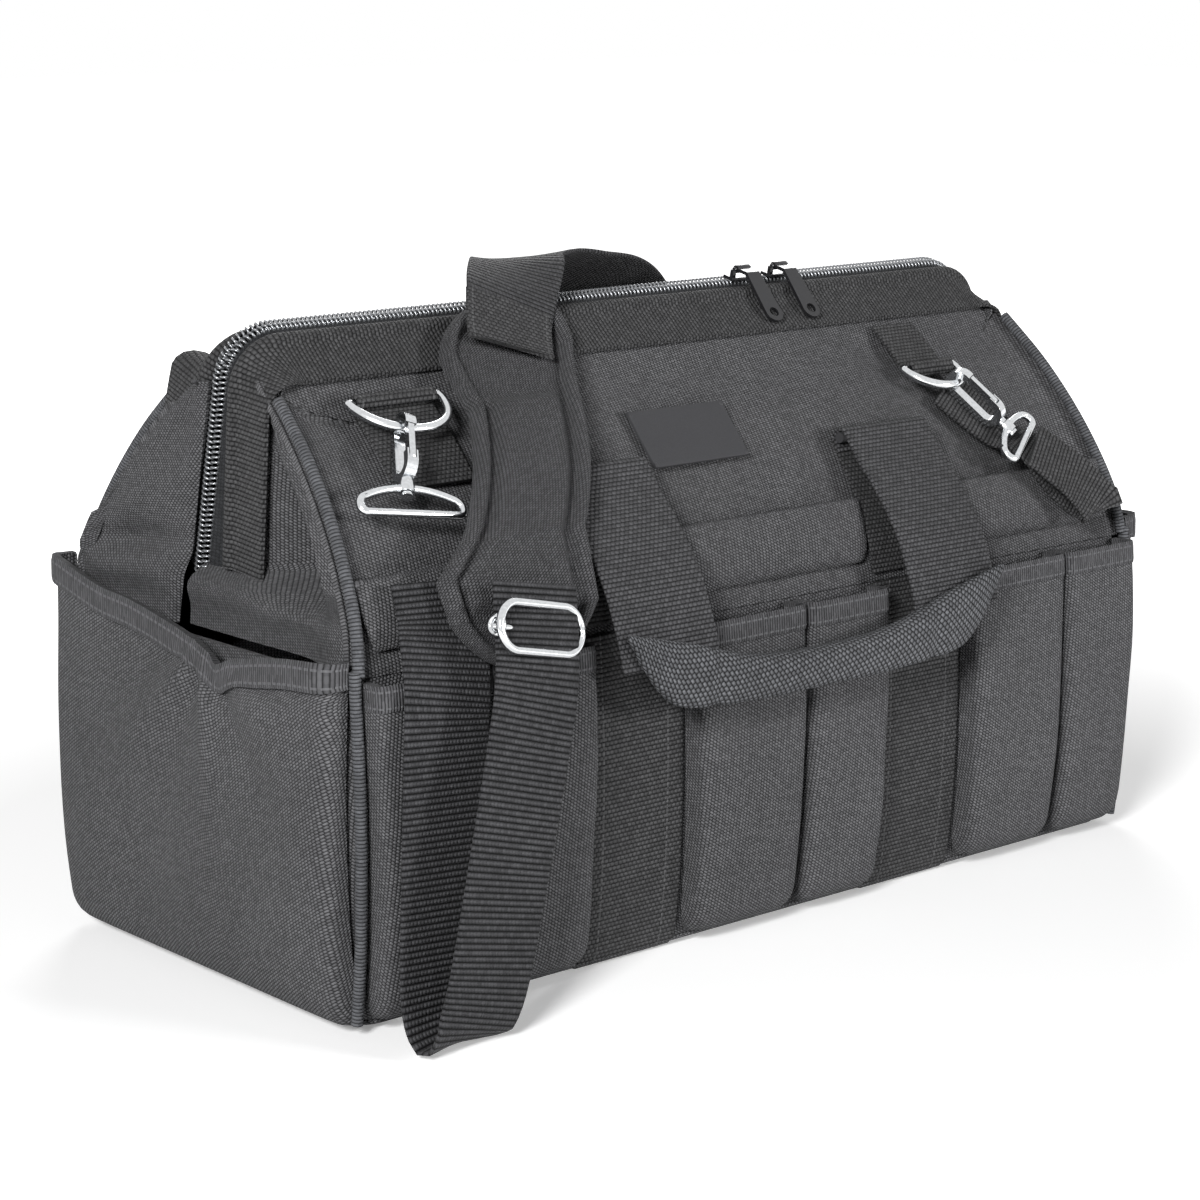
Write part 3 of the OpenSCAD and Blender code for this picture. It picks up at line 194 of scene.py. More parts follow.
def spline(points, step=3.0):
    """A smooth curve through the points, in steps of about that length."""
    p = np.asarray(points, float)
    p = np.vstack([2 * p[0] - p[1], p, 2 * p[-1] - p[-2]])
    parts = []
    for i in range(1, len(p) - 2):
        n = max(2, int(np.linalg.norm((p[i + 1] - p[i])[:3]) / step))
        t = np.linspace(0, 1, n, endpoint=False)[:, None]
        parts.append(0.5 * (2 * p[i] + (p[i + 1] - p[i - 1]) * t
                            + (2 * p[i - 1] - 5 * p[i] + 4 * p[i + 1] - p[i + 2]) * t ** 2
                            + (3 * p[i] - p[i - 1] - 3 * p[i + 1] + p[i + 2]) * t ** 3))
    return np.vstack(parts + [p[-2:-1]])


def run_length(line):
    """How far along a line each of its points lies."""
    return np.concatenate([[0], np.cumsum(np.linalg.norm(np.diff(line, axis=0), axis=1))])


def unit(rows):
    return rows / np.linalg.norm(rows, axis=1)[:, None]


def resample(points, count):
    """The same line with its points spread evenly."""
    p = np.asarray(points, float)
    run = run_length(p)
    want = np.linspace(0, run[-1], count)
    return np.stack([np.interp(want, run, p[:, k]) for k in range(p.shape[1])], -1)


def wall(line, step=1.0):
    """A wall's outline as a function: a height and a stand-off give the reach and the height there."""
    p = spline(line, step)
    d = unit(np.gradient(p, axis=0))

    def at(z, off=0.0):
        reach, out, up = (np.interp(z, p[:, 1], v) for v in (p[:, 0], d[:, 1], -d[:, 0]))
        return reach + out * off, z + up * off
    return at


lower_at, end_at, lean_at = wall(LOWER_LINE), wall(END_LINE), wall(LEAN_LINE)


def on_wall(line, x, z, off=0.0):
    """A point of the front at a height and stand-off, or a row of them."""
    reach, high = line(z, off)
    return np.stack(np.broadcast_arrays(x, -reach, high), -1)


def panel_half(z):
    """Half the length of an upper panel, which narrows a little towards the mouth."""
    return HALF_LEN * (1 - 0.07 * (np.asarray(z, float) - CREASE_H) / (MOUTH_H - CREASE_H))


def smooth(t):
    t = np.clip(t, 0, 1)
    return t * t * (3 - 2 * t)


def crumple(points, size, height, seed):
    """Soft random waves for cloth, as one number for each point."""
    flat = np.asarray(points, float).reshape(-1, 3) / size
    waves = [noise.noise(Vector((a + seed * 7.3, b, c))) for a, b, c in flat]
    return height * np.array(waves).reshape(points.shape[:-1])


# %% [markdown]
# ## Cloth from rows of points
# Sewn cloth is easiest to shape as a grid: rows and columns of points that follow the pattern piece. The
# grid starts as Blender's own primitive, and its points are then moved to their places. The UV map is
# the real length along the cloth in metres, so a weave has its true size on every piece.


# %% The grid, the sweep and the finish
def cloth(name, points, wrap=False, caps=False):
    """Rows and columns of points in millimetres become a mesh. Columns x rows point outwards."""
    points = np.asarray(points, float)
    rows, cols = points.shape[:2]
    bpy.ops.object.select_all(action="DESELECT")
    bpy.ops.mesh.primitive_grid_add(x_subdivisions=cols - 1, y_subdivisions=rows - 1)
    piece = bpy.context.object
    piece.name = piece.data.name = name
    piece.data.vertices.foreach_set("co", (points * MM).ravel())
    u = np.concatenate([np.zeros((rows, 1)), np.cumsum(np.linalg.norm(np.diff(points, axis=1), axis=2), 1)], 1)
    u -= u[:, cols // 2][:, None]
    v = np.concatenate([[0], np.cumsum(np.linalg.norm(np.diff(points, axis=0), axis=2).mean(1))])
    uv = np.stack([u, np.broadcast_to(v[:, None], u.shape)], -1).reshape(-1, 2) * MM
    corner = np.zeros(len(piece.data.loops), np.int32)
    piece.data.loops.foreach_get("vertex_index", corner)
    piece.data.uv_layers[0].data.foreach_set("uv", uv[corner].ravel())
    piece.data.update()
    if wrap:
        bpy.ops.object.mode_set(mode="EDIT")
        bpy.ops.mesh.select_all(action="SELECT")
        bpy.ops.mesh.remove_doubles(threshold=1e-6)
        if caps:
            bpy.ops.mesh.fill_holes(sides=0)
            bpy.ops.mesh.select_all(action="SELECT")
            bpy.ops.mesh.normals_make_consistent(inside=False)
        bpy.ops.object.mode_set(mode="OBJECT")
    return piece


def flat_section(width, thick, count=7):
    """Section of a webbing with rounded edges, from the middle of its back and round to it again."""
    r = thick / 2
    a = width / 2 - r
    half = [(x, -r) for x in np.linspace(0, a, count)[:-1]]
    half += [(a + r * sin(t), -r * cos(t)) for t in np.linspace(0, pi, 6)]
    half += [(x, r) for x in np.linspace(a, 0, count)[1:]]
    return np.array(half + [(-x, y) for x, y in half[-2::-1]])


def round_section(a, b, count=16, power=2.0):
    """Closed oval section, round at power 2 and squarer above it."""
    t = np.linspace(-pi / 2, 1.5 * pi, count + 1)
    c, s = np.cos(t), np.sin(t)
    return np.stack([a * np.sign(c) * abs(c) ** (2 / power), b * np.sign(s) * abs(s) ** (2 / power)], -1)


def sweep(path, side, section):
    """Points of a section carried along a path. side is the direction of the section's width."""
    path = np.asarray(path, float)
    run = unit(np.gradient(path, axis=0))
    side = np.broadcast_to(np.asarray(side, float), path.shape)
    across = unit(side - run * (side * run).sum(1)[:, None])
    out = np.cross(run, across)
    section = np.broadcast_to(section, (len(path),) + np.shape(section)[-2:])
    return (path[:, None] + across[:, None] * section[..., 0:1] + out[:, None] * section[..., 1:2])


def band(path, width=WEB_W, thick=WEB_T):
    """Flat webbing that faces across the bag."""
    return sweep(path, (1, 0, 0), flat_section(width, thick))


def pick(*pieces):
    """Selects these and makes the last one active."""
    bpy.ops.object.select_all(action="DESELECT")
    for piece in pieces:
        piece.select_set(True)
    bpy.context.view_layer.objects.active = pieces[-1]


def modifier(piece, kind, **values):
    """Adds one modifier and gives its name."""
    made = piece.modifiers.new(kind.lower(), kind)
    for key, value in values.items():
        setattr(made, key, value)
    return made.name


def modify(piece, kind, **values):
    """Adds one modifier and applies it."""
    pick(piece)
    bpy.ops.object.modifier_apply(modifier=modifier(piece, kind, **values))


def coat_with(piece, finish):
    piece.data.materials.clear()
    piece.data.materials.append(finishes[finish][0])


def dress(piece, finish, body=None, stands_for=(), blend=None, thick=0.0, angle=50):
    """Thickness, smooth shading, finish and body of a new piece. blend is two bodies and two points, which are not
    used: a piece with a blend gets no body, and its place is baked into its mesh.
    """
    if thick:
        modify(piece, "SOLIDIFY", thickness=thick * MM, offset=-1.0, use_rim=True)
    pick(piece)
    bpy.ops.object.shade_smooth_by_angle(angle=radians(angle))
    coat_with(piece, finish)
    if stands_for:
        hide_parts(*stands_for)
    if blend:
        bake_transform(piece)
    else:
        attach(piece, body)
    return piece


def sheet(name, points, finish, *told, **kept):
    """An open sheet of cloth, as one dressed piece."""
    return dress(cloth(name, points), finish, *told, **kept)


def closed(name, points, finish, *told, **kept):
    """A sweep that closes on itself, as one dressed piece."""
    return dress(cloth(name, points, wrap=True, caps=True), finish, *told, **kept)


def same(points):
    return points


def to_back(points):
    """The same cloth on the back: mirrored, with its columns turned round so that it still faces out."""
    return (np.asarray(points) * (1, -1, 1))[:, ::-1]


def to_right(points):
    return (np.asarray(points) * (-1, 1, 1))[:, ::-1]


BAG_FRONT, BAG_BACK = "front_mouth", "back_mouth"
FACES = (("front", BAG_FRONT, same), ("back", BAG_BACK, to_back))
ENDS = (("left", same), ("right", to_right))
SIDES = ((-1, "left"), (1, "right"))

# %% [markdown]
# ## Finishes
# The bag is one colour, so its materials differ by weave. One node group draws yarns as staggered rounded
# bumps: fine and slanting for the body cloth, coarse for webbing, long ribs for the shoulder strap. It puts
# out a height, a number for each yarn, and nothing else, so each material keeps its own shader.


# %% An empty node group
def group(name, numbers, outputs):
    """An empty node group that takes a map and numbers."""
    made = bpy.data.node_groups.new(name, "ShaderNodeTree")
    made.interface.new_socket("Map", in_out="INPUT", socket_type="NodeSocketVector")
    for label, value in numbers.items():
        made.interface.new_socket(label, in_out="INPUT", socket_type="NodeSocketFloat").default_value = value
    for label in outputs:
        made.interface.new_socket(label, in_out="OUTPUT", socket_type="NodeSocketFloat")
    return made, Wiring(made)


# %% The weave group
weave, w = group("yarns", {"Length": 0.001, "Width": 0.001, "Shift": 0.5, "Roundness": 0.5, "Cut": 1.0},
                 ["Height", "Yarn"])
given = w.put("NodeGroupInput").outputs
split = w.put("SeparateXYZ", {0: given["Map"]}).outputs
row_place = w.math("DIVIDE", split[1], given["Width"])
row = w.math("FLOOR", row_place)
along = w.math("ADD", w.math("DIVIDE", split[0], given["Length"]), w.math("MULTIPLY", row, given["Shift"]))
bumps = [w.math("SINE", w.math("MULTIPLY", w.math("FRACT", place), pi)) for place in (along, row_place)]
uncut = w.math("SUBTRACT", 1.0, given["Cut"])
bumps[0] = w.math("ADD", w.math("MULTIPLY", bumps[0], given["Cut"]), uncut)
height = w.math("POWER", w.math("MULTIPLY", *bumps), given["Roundness"])
cell = w.out("CombineXYZ", {0: w.math("FLOOR", along), 1: row})
yarn = w.put("TexWhiteNoise", {"Vector": cell}, noise_dimensions="2D").outputs["Value"]
w.put("NodeGroupOutput", {"Height": height, "Yarn": yarn})

# %% The stitch group: a dashed row of thread at a chosen distance from the middle of a tape
stitch, w = group("stitches", {"Row": 0.0, "Pitch": 0.003, "Thread": 0.0004}, ["Mask"])
given = w.put("NodeGroupInput").outputs
split = w.put("SeparateXYZ", {0: given["Map"]}).outputs
away = w.math("ABSOLUTE", w.math("SUBTRACT", w.math("ABSOLUTE", split[0]), given["Row"]))
near = w.math("LESS_THAN", away, given["Thread"])
dash = w.math("LESS_THAN", w.math("FRACT", w.math("DIVIDE", split[1], given["Pitch"])), 0.72)
w.put("NodeGroupOutput", {"Mask": w.math("MULTIPLY", near, dash)})


# %% Cloth and webbing materials
def woven(name, slot, colour, cell, depth, gap, shift=0.5, rough=0.82, turn=0.0, stitch_row=None,
          round_=0.5, cut=1.0):
    """A woven material: painted shade in the gaps between yarns, a little difference from yarn to yarn, and soft
    fading.
    """
    made, w = new_material(name)
    base_map = w.out("UVMap")
    turned = w.out("Mapping", {"Vector": base_map, "Rotation": (0, 0, turn)})
    yarns = w.put("Group", {"Map": turned, "Length": cell[0], "Width": cell[1], "Shift": shift,
                            "Roundness": round_, "Cut": cut}, node_tree=weave)
    fade = w.specks(9.0, 3.0)
    light = linear(colour)
    # Painted shade: where the yarn height is low, the colour is darkened by the factor gap, as if the gaps lay in
    # shadow.
    gap_shade_colour = tuple(c * gap for c in light[:3]) + (1,)
    deep = w.remap(yarns.outputs["Height"], 0.15, 0.85, 0.0, 1.0)
    colour_now = w.blend(deep, gap_shade_colour, light)
    spread = w.remap(yarns.outputs["Yarn"], 0.0, 1.0, 0.78, 1.22)
    worn = w.remap(fade, 0.3, 0.7, 0.88, 1.12)
    tone = w.math("MULTIPLY", spread, worn)
    colour_now = w.tinted(colour_now, tone)
    bump_height = yarns.outputs["Height"]
    if stitch_row is not None:
        thread = w.put("Group", {"Map": base_map, "Row": stitch_row}, node_tree=stitch)
        # Painted highlight: the raised stitch thread is drawn half again as light as the tape, as if it caught the
        # light.
        thread_highlight = tuple(min(1, c * 1.5) for c in light[:3]) + (1,)
        colour_now = w.blend(thread.outputs["Mask"], colour_now, thread_highlight)
        bump_height = w.math("ADD", bump_height, w.math("MULTIPLY", thread.outputs["Mask"], 1.2))
    normal = w.out("Bump", {"Strength": 1.0, "Distance": depth, "Height": bump_height})
    skin = w.out("BsdfPrincipled", {"Base Color": colour_now, "Roughness": rough, "Normal": normal,
                                    "Sheen Weight": 0.03, "Sheen Roughness": 0.4, "Specular IOR Level": 0.1})
    w.put("OutputMaterial", {"Surface": skin})
    finishes[name] = (made, slot)


finishes = {}
woven("body_cloth", "body_fabric", "#5f5f61", (0.0018, 0.0011), 0.0006, 0.15, shift=0.33, turn=0.6)
woven("binding_tape", "body_fabric", "#4e4e50", (0.0030, 0.0013), 0.0006, 0.08, cut=0.3, stitch_row=0.0030)
woven("piping_cloth", "body_fabric", "#56575a", (0.0030, 0.0014), 0.0006, 0.1, cut=0.3)
woven("webbing", "webbing", "#454546", (0.0021, 0.0018), 0.001, 0.04, rough=0.7, cut=0.8)
woven("webbing_sewn", "webbing", "#454546", (0.0021, 0.0018), 0.001, 0.04, rough=0.7, cut=0.8, stitch_row=0.0165)
woven("handle_cloth", "handle_webbing", "#4a4a4c", (0.0022, 0.0018), 0.001, 0.04, rough=0.7, cut=0.8)
woven("grip_cloth", "handle_webbing", "#606164", (0.0022, 0.0020), 0.0011, 0.04, rough=0.68, turn=0.7)
woven("strap_ribs", "webbing", "#414143", (0.0016, 0.0023), 0.0012, 0.03, rough=0.66, round_=0.8, cut=0.35)
woven("pad_cloth", "pad_mesh", "#545456", (0.0016, 0.0010), 0.0006, 0.12, shift=0.33, turn=0.6)
woven("zip_tape", "zip", "#2c2d2f", (0.0014, 0.0010), 0.0003, 0.4)


# %% Metal, rubber and board
def plain(name, slot, colour, rough, metal=0.0, grain=0.0, grain_size=400.0, coat=0.0, gleam=0.5):
    """A hard finish: small differences in colour and gloss from fine noise, so that it is never flat."""
    made, w = new_material(name)
    specks, marks = w.specks(grain_size, 4.0), w.specks(45.0, 3.0)
    tone = w.remap(specks, 0.25, 0.75, 0.9, 1.08)
    colour_now = w.tinted(linear(colour), tone)
    gloss = w.remap(marks, 0.3, 0.7, rough * 0.75, rough * 1.35)
    normal = w.out("Bump", {"Strength": 0.6, "Distance": grain, "Height": specks})
    skin = w.out("BsdfPrincipled", {"Base Color": colour_now, "Roughness": gloss, "Metallic": metal,
                                    "Normal": normal, "Coat Weight": coat, "Specular IOR Level": gleam})
    w.put("OutputMaterial", {"Surface": skin})
    finishes[name] = (made, slot)


plain("nickel", "bright_metal", "#d6d8da", 0.14, metal=1.0, grain=0.00002, grain_size=900.0)
plain("black_metal", "zip_metal", "#2a2a2c", 0.34, metal=0.6, grain=0.00002, grain_size=700.0, coat=0.3)
plain("zip_coil", "zip", "#85878a", 0.24, metal=0.6, grain=0.00001, coat=0.2)
plain("spring_steel", "steel", "#8e9194", 0.35, metal=1.0, grain=0.00002)
plain("patch_rubber", "label", "#3a3a3c", 0.5, grain=0.00004, grain_size=1500.0, gleam=0.12)
plain("bottom_board", "board", "#26262a", 0.6, grain=0.0001, grain_size=500.0)
plain("pin_thread", "pin_core", "#2c2c2e", 0.7, grain=0.0001)
print("finishes:", sorted(finishes))

# %% [markdown]
# ## The floor
# A wide white sheet. It has to look white beside the bag and still hold the shadow, so its diffuse white
# gets a little glow for the camera alone. That glow is weaker near the bag, which paints shade on the floor
# round the bag besides its real shadow.

# %% Floor
bpy.ops.mesh.primitive_plane_add(size=14, location=(0, 0, -0.0005))
floor = bpy.context.object
floor.name = "studio_floor"
paper, w = new_material("white_paper")
rays = w.put("LightPath").outputs
place = w.put("TexCoord").outputs["Object"]
distance = w.put("VectorMath", {0: place}, operation="LENGTH").outputs["Value"]
# Painted shade: the glow drops from 1.1 far off to 0.25 near the bag, so the floor round the bag is darker.
glow_dimmed_near_bag = w.remap(distance, 0.3, 0.8, 0.25, 1.1)
glow = w.math("MULTIPLY", w.math("MAXIMUM", rays["Is Camera Ray"], rays["Is Glossy Ray"]), glow_dimmed_near_bag)
sheet_skin = w.out("BsdfDiffuse", {"Color": (0.93, 0.93, 0.93, 1)})
sheet_glow = w.out("Emission", {"Color": WHITE, "Strength": glow})
both = w.out("AddShader", {0: sheet_skin, 1: sheet_glow})
w.put("OutputMaterial", {"Surface": both})
floor.data.materials.append(paper)

# %% [markdown]
# ## Bottom and lower walls
# The tub is one loft of rounded rectangles that swells a little at half height, as padded cloth does. A loft
# gives continuous corners, where four plates would leave open seams.


# %% Tub
def tub_ring(z, radius=9.0, along_long=40, along_short=20, bend=6):
    """One closed row round the bag at a height, from the front left corner through the front."""
    far, wide = float(end_at(z)[0]), float(lower_at(z)[0])
    ring = []
    for cx, cy, start, gap in ((1, -1, -90, along_short), (1, 1, 0, along_long),
                               (-1, 1, 90, along_short), (-1, -1, 180, along_long)):
        centre = np.array([cx * (far - radius), cy * (wide - radius)])
        turn = np.radians(np.linspace(start, start + 90, bend))
        arc = centre + radius * np.stack([np.cos(turn), np.sin(turn)], -1)
        if ring:
            ring.append(np.linspace(ring[-1][-1], arc[0], last + 1)[1:-1])
        ring.append(arc)
        last = gap
    ring.append(np.linspace(ring[-1][-1], ring[0][0], last + 1)[1:])
    flat = np.vstack(ring)
    return np.column_stack([flat, np.full(len(flat), z)])


tub = np.array([tub_ring(z) for z in np.concatenate([[4.2, 6], np.linspace(10, 133, 18)])])
dress(cloth("lower_walls", tub, wrap=True), "body_cloth", "bag",
      ("front_panel", "back_panel", "left_end_panel", "right_end_panel"), thick=WALL_T)

outline = tub_ring(4.05)[:, :2]
bottom = [np.column_stack([outline * k, np.full(len(outline), z)])
          for k, z in ((0.02, 1.55), (0.6, 1.5), (0.985, 1.5), (0.997, 2.0), (1.0, 2.8), (0.997, 3.6), (0.985, 3.9),
                       (0.02, 3.9))]
closed("bottom_cloth", np.array(bottom), "body_cloth", "bag", ("base_panel",), angle=70)

# %% Straps under the bottom
for s, side in SIDES:
    x = s * STRIP_X
    up = [on_wall(lower_at, x, z, SEAM + WEB_T / 2) for z in np.linspace(133, 8, 30)]
    front = np.array(up + [(x, -88.6, 3.6), (x, -86.5, 1.3), (x, -82, 0.78)])
    path = np.vstack([front, [(x, y, 0.78) for y in np.linspace(-76, 76, 30)], (front * (1, -1, 1))[::-1]])
    closed("base_strap_" + side, band(path), "webbing_sewn", "bag", ("base_straps",))

# %% [markdown]
# ## Bellows pockets
# Each pocket is a sheet that is folded round to the wall at both sides and gathered at its foot. Seen from
# above it is a boxy oval, squarer at the open top than at the foot, which leaves the deep dark valley between
# two pockets. A ribbed tape binds its top edge.

# %% One bay and its binding
POCKET_TOP, POCKET_FOOT, POCKET_OUT, POCKET_T, TAPE_H, TAPE_PROUD = 131.5, 5.0, 12.0, 1.8, 9.0, 1.6


def bay_row(x0, x1, line, z, out, power, count):
    """Plan of one bay at a height: from the wall, round the front and back to the wall."""
    t = np.linspace(pi, 0, 400)
    c, s = np.cos(t), np.sin(t)
    x = np.sign(c) * abs(c) ** (2 / power)
    off = abs(s) ** (2 / power)
    plan = resample(np.stack([x * (x1 - x0) / 2 + (x0 + x1) / 2, 0.6 + (out - 0.6) * off], -1), count)
    return on_wall(line, plan[:, 0], z, plan[:, 1])


def bellows(x0, x1, line, z0, z1, out, seed, foot_r=12.0, valley=(0.9, 2.6), rows=30, count=45):
    """A bay from its foot to its top edge, with soft waves that die out at its seams."""
    cloth_rows = []
    for z in z0 + (z1 - z0) * np.linspace(0, 1, rows) ** 1.25:
        up = z - z0
        rise = sqrt(max(0.0, 1 - (1 - min(up / foot_r, 1)) ** 2))
        inset = valley[1] + (valley[0] - valley[1]) * smooth(up / (z1 - z0)) + 4 * (1 - rise)
        power = 5 + 5 * up / (z1 - z0)
        reach = 0.6 + (out - 0.6) * (0.12 + 0.88 * rise)
        cloth_rows.append(bay_row(x0 + inset, x1 - inset, line, z, reach, power, count))
    points = np.array(cloth_rows)
    across = np.linspace(-1, 1, count)[None, :]
    upward = np.linspace(0, 1, rows)[:, None]
    calm = (1 - across ** 6) * smooth(upward * 4) * (1 - smooth((upward - 0.86) * 8))
    points[..., 1] -= crumple(points, 38.0, 1.3, seed) * calm + 0.7 * calm * (1 - across ** 2)
    return points


def edge_band(points, way, proud=0.9, count=7):
    """Tape over the top edge of a sheet. It lies on the sheet, so it follows every fold under it."""
    down = np.linspace(0, TAPE_H, count)
    strip = []
    for line in np.swapaxes(points, 0, 1)[:, ::-1]:
        strip.append(np.stack([np.interp(down, run_length(line), line[:, k]) for k in range(3)], -1))
    strip = np.array(strip)
    strip[:, 0, 2] += 0.7
    rounded = np.array([0.4] + [1.0] * (count - 2) + [0.6])
    return strip + rounded[None, :, None] * proud * np.array(way, float)


STRIP_IN, STRIP_OUT, POCKET_END = 53.7, 104.3, 208.8
OUTER_SPLIT, MIDDLE_SPLIT = 162.8, 6.44
for group_name, bays in (
        ("front_left_pockets", [(-POCKET_END, -OUTER_SPLIT), (-OUTER_SPLIT, -STRIP_OUT)]),
        ("front_middle_pockets", [(-STRIP_IN, MIDDLE_SPLIT), (MIDDLE_SPLIT, STRIP_IN)]),
        ("front_right_pockets", [(STRIP_OUT, OUTER_SPLIT), (OUTER_SPLIT, POCKET_END)]),
        ("back_pockets", [(-POCKET_END, -STRIP_OUT), (-STRIP_IN, STRIP_IN), (STRIP_OUT, POCKET_END)])):
    turn = to_back if group_name == "back_pockets" else same
    for i, (x0, x1) in enumerate(bays):
        seed = len(group_name + "_cloth") + 3 * i
        points = bellows(x0, x1, lower_at, POCKET_FOOT, POCKET_TOP, POCKET_OUT, seed)
        tag = f"{group_name}_cloth_{'abc'[i]}"
        sheet(tag, turn(points), "body_cloth", "bag", (group_name,), thick=POCKET_T)
        sheet(tag + "_tape", turn(edge_band(points, (0, -1, 0))), "binding_tape", "bag", thick=POCKET_T + TAPE_PROUD)

# %% [markdown]
# ## End pockets
# The end pocket is one wide sheet. Its hem dips in the middle, and the slack cloth below the dip falls in
# folds that fan out downwards. The folds are pushed in and out in code, because only a few of them show and
# each one has its place.

# %% End pockets
END_OUT = 10.0
HEM_LINE = [(-91, 140), (-72, 138.5), (-54, 135.5), (-38, 132), (-27, 129), (-17, 134), (0, 138.5), (30, 143.5),
            (52, 145.5), (78, 151), (91, 153)]
DIP_Y, DIP_Z = -18, 138
# Bearing from the dip in the hem, width and depth of each fold below it
FOLDS = ((-58, 8, 3.6), (-34, 8, -3.4), (-6, 9, 4.4), (22, 9, -3.8), (44, 8, 3.8), (64, 8, -3.0))


def end_pocket(rows=46, count=91):
    """Left end pocket, from the back corner round to the front corner."""
    half = HALF_DEP - POCKET_T
    t = np.linspace(pi, 0, 600)
    plan = resample(np.stack([-np.sign(np.cos(t)) * abs(np.cos(t)) ** (2 / 11) * half,
                              0.6 + (END_OUT - 0.6) * np.sin(t) ** (2 / 11)], -1), count)
    y = -plan[:, 0]
    k = y / half
    curve = spline(HEM_LINE, 1.5)
    top = np.interp(y, curve[:, 0], curve[:, 1])
    points = np.zeros((rows, count, 3))
    for i, s in enumerate(np.linspace(0, 1, rows) ** 1.15):
        z = POCKET_FOOT + (top - POCKET_FOOT) * s
        rise = np.sqrt(np.clip(1 - (1 - np.clip((z - POCKET_FOOT) / 12, 0, 1)) ** 2, 0, 1))
        reach, high = end_at(z, 0.6 + (plan[:, 1] - 0.6) * (0.1 + 0.9 * rise))
        points[i] = np.stack([-reach, y * (1 - 0.03 * (1 - rise)), high], -1)
    height = points[..., 2]
    calm = (1 - k ** 8)[None, :] * smooth(np.linspace(0, 1, rows) * 5)[:, None]
    calm = calm * (0.25 + 0.75 * smooth((top[None, :] - height - 4) / 14))
    away = np.hypot(points[..., 1] - DIP_Y, height - DIP_Z)
    bearing = np.degrees(np.arctan2(points[..., 1] - DIP_Y, DIP_Z - height))
    folds = np.zeros_like(away)
    for middle, width, deep in FOLDS:
        folds += deep * np.exp(-((bearing - middle) / width) ** 2)
    folds *= smooth(away / 16) * np.exp(-away / 75)
    swell = 2.6 * (1 - k ** 2)[None, :] * np.sin(np.clip(height / 135, 0, 1) * pi)
    points[..., 0] -= calm * (folds + swell + crumple(points, 45.0, 3.0, 3))
    return points


left = end_pocket()
hem = edge_band(left, (-1, 0, 0))
for tag, turn in ENDS:
    sheet(tag + "_end_pocket_cloth", turn(left), "body_cloth", "bag", (tag + "_end_pocket",), thick=POCKET_T)
    sheet(tag + "_end_pocket_hem", turn(hem), "binding_tape", "bag", thick=POCKET_T + TAPE_PROUD)

# %% [markdown]
# ## Piping
# A bound cord covers each corner seam. It is a plain round sweep, and its ribbed tape comes from the finish.


# %% Corner piping
PIPE_R = 2.25


def piping(path):
    return sweep(spline(path, 2.5), (1, 0, 0), round_section(PIPE_R, PIPE_R, 14))


for s, tag in SIDES:
    for f, face in ((1, "front"), (-1, "back")):
        line = [(s * (POCKET_END + SEAM + PIPE_R), -f * (lower_at(z)[0] + 2.4), z) for z in np.linspace(5, 137, 14)]
        closed(f"{face}_{tag}_piping", piping(line), "piping_cloth", "bag", ("corner_piping",))

# %% [markdown]
# ## Upper panels
# These lean in to the mouth and are held only at their edges, so they show long soft folds. The folds go
# inwards from the sewn line, which keeps the cloth under the webbing, the label and the ring patches.


# %% Upper panels
def upper_panel(seed, rows=44, cols=121):
    z_line = np.linspace(133.4, 232.0, rows)
    points = np.zeros((rows, cols, 3))
    for i, z in enumerate(z_line):
        half = float(panel_half(z))
        x = np.linspace(-half, half, cols)
        sag = crumple(np.stack([x, np.full(cols, 0.0), np.full(cols, z)], -1), 42.0, 2.2, seed) - 1.1
        sag += 1.6 * np.exp(-((x - 34 - (z - 190) * 0.25) / 9) ** 2) - 1.6
        sag += 1.3 * np.exp(-((x + 175 + (z - 180) * 0.5) / 10) ** 2) - 0.8
        under_web = np.exp(-((abs(x) - STRIP_X) / 26) ** 4)
        edge = smooth((half - abs(x)) / 14) * smooth((z - 134) / 16) * smooth((231 - z) / 12)
        off = np.minimum(sag, 0) * edge * (1 - 0.8 * under_web)
        points[i] = on_wall(lean_at, x, z, off)
    return points


for (face, body, turn), seed in zip(FACES, (2, 9)):
    sheet(face + "_upper_cloth", turn(upper_panel(seed)), "body_cloth", body, (face + "_upper_panel",), thick=WALL_T)
    for s, tag in SIDES:
        line = [on_wall(lean_at, s * (panel_half(z) - 2.4), z, SEAM + 2.2) for z in np.linspace(134.5, 224, 12)]
        closed(f"{face}_{tag}_mouth_piping", turn(piping(line)), "piping_cloth", body, (face + "_mouth_piping",))

# %% [markdown]
# ## Mouth frames
# A steel rod runs in a webbing sleeve round each half of the mouth. The sleeve's section is a drop: round over
# the rod and flat where it laps over the panel. Sweeping that one section up a leg, round the corner and along
# the mouth gives the fold at the corner by itself.

# %% Sleeves
FRONT_TILT, BACK_TILT = asin(-8 / 84), asin(27 / 84)
ROD_HALF, ROD_BEND, ROD_DROP = 199.0, 18.0, 84.0
BAND_W, BAND_T = 22.0, 2.25


def u_line(half, bend, drop, leg=14, corner=12, top=70):
    """The shape of a frame as (x, depth below the top bar), from the right foot to the left foot."""
    right = [(half, d) for d in np.linspace(drop, bend, leg)[:-1]]
    right += [(half - bend + bend * cos(a), bend - bend * sin(a))
              for a in np.linspace(0, pi / 2, corner)[:-1]]
    middle = [(x, 0.0) for x in np.linspace(half - bend, bend - half, top)]
    return np.array(right + middle + [(-x, d) for x, d in right[::-1]])


def in_plane(line, y0, z0, tilt, off=0.0):
    """Places a frame line in its tilted plane on the front side. off is the distance out of that plane."""
    return np.stack([line[:, 0], -(y0 + off * cos(tilt) + line[:, 1] * sin(tilt)),
                     z0 + off * sin(tilt) - line[:, 1] * cos(tilt)], -1)


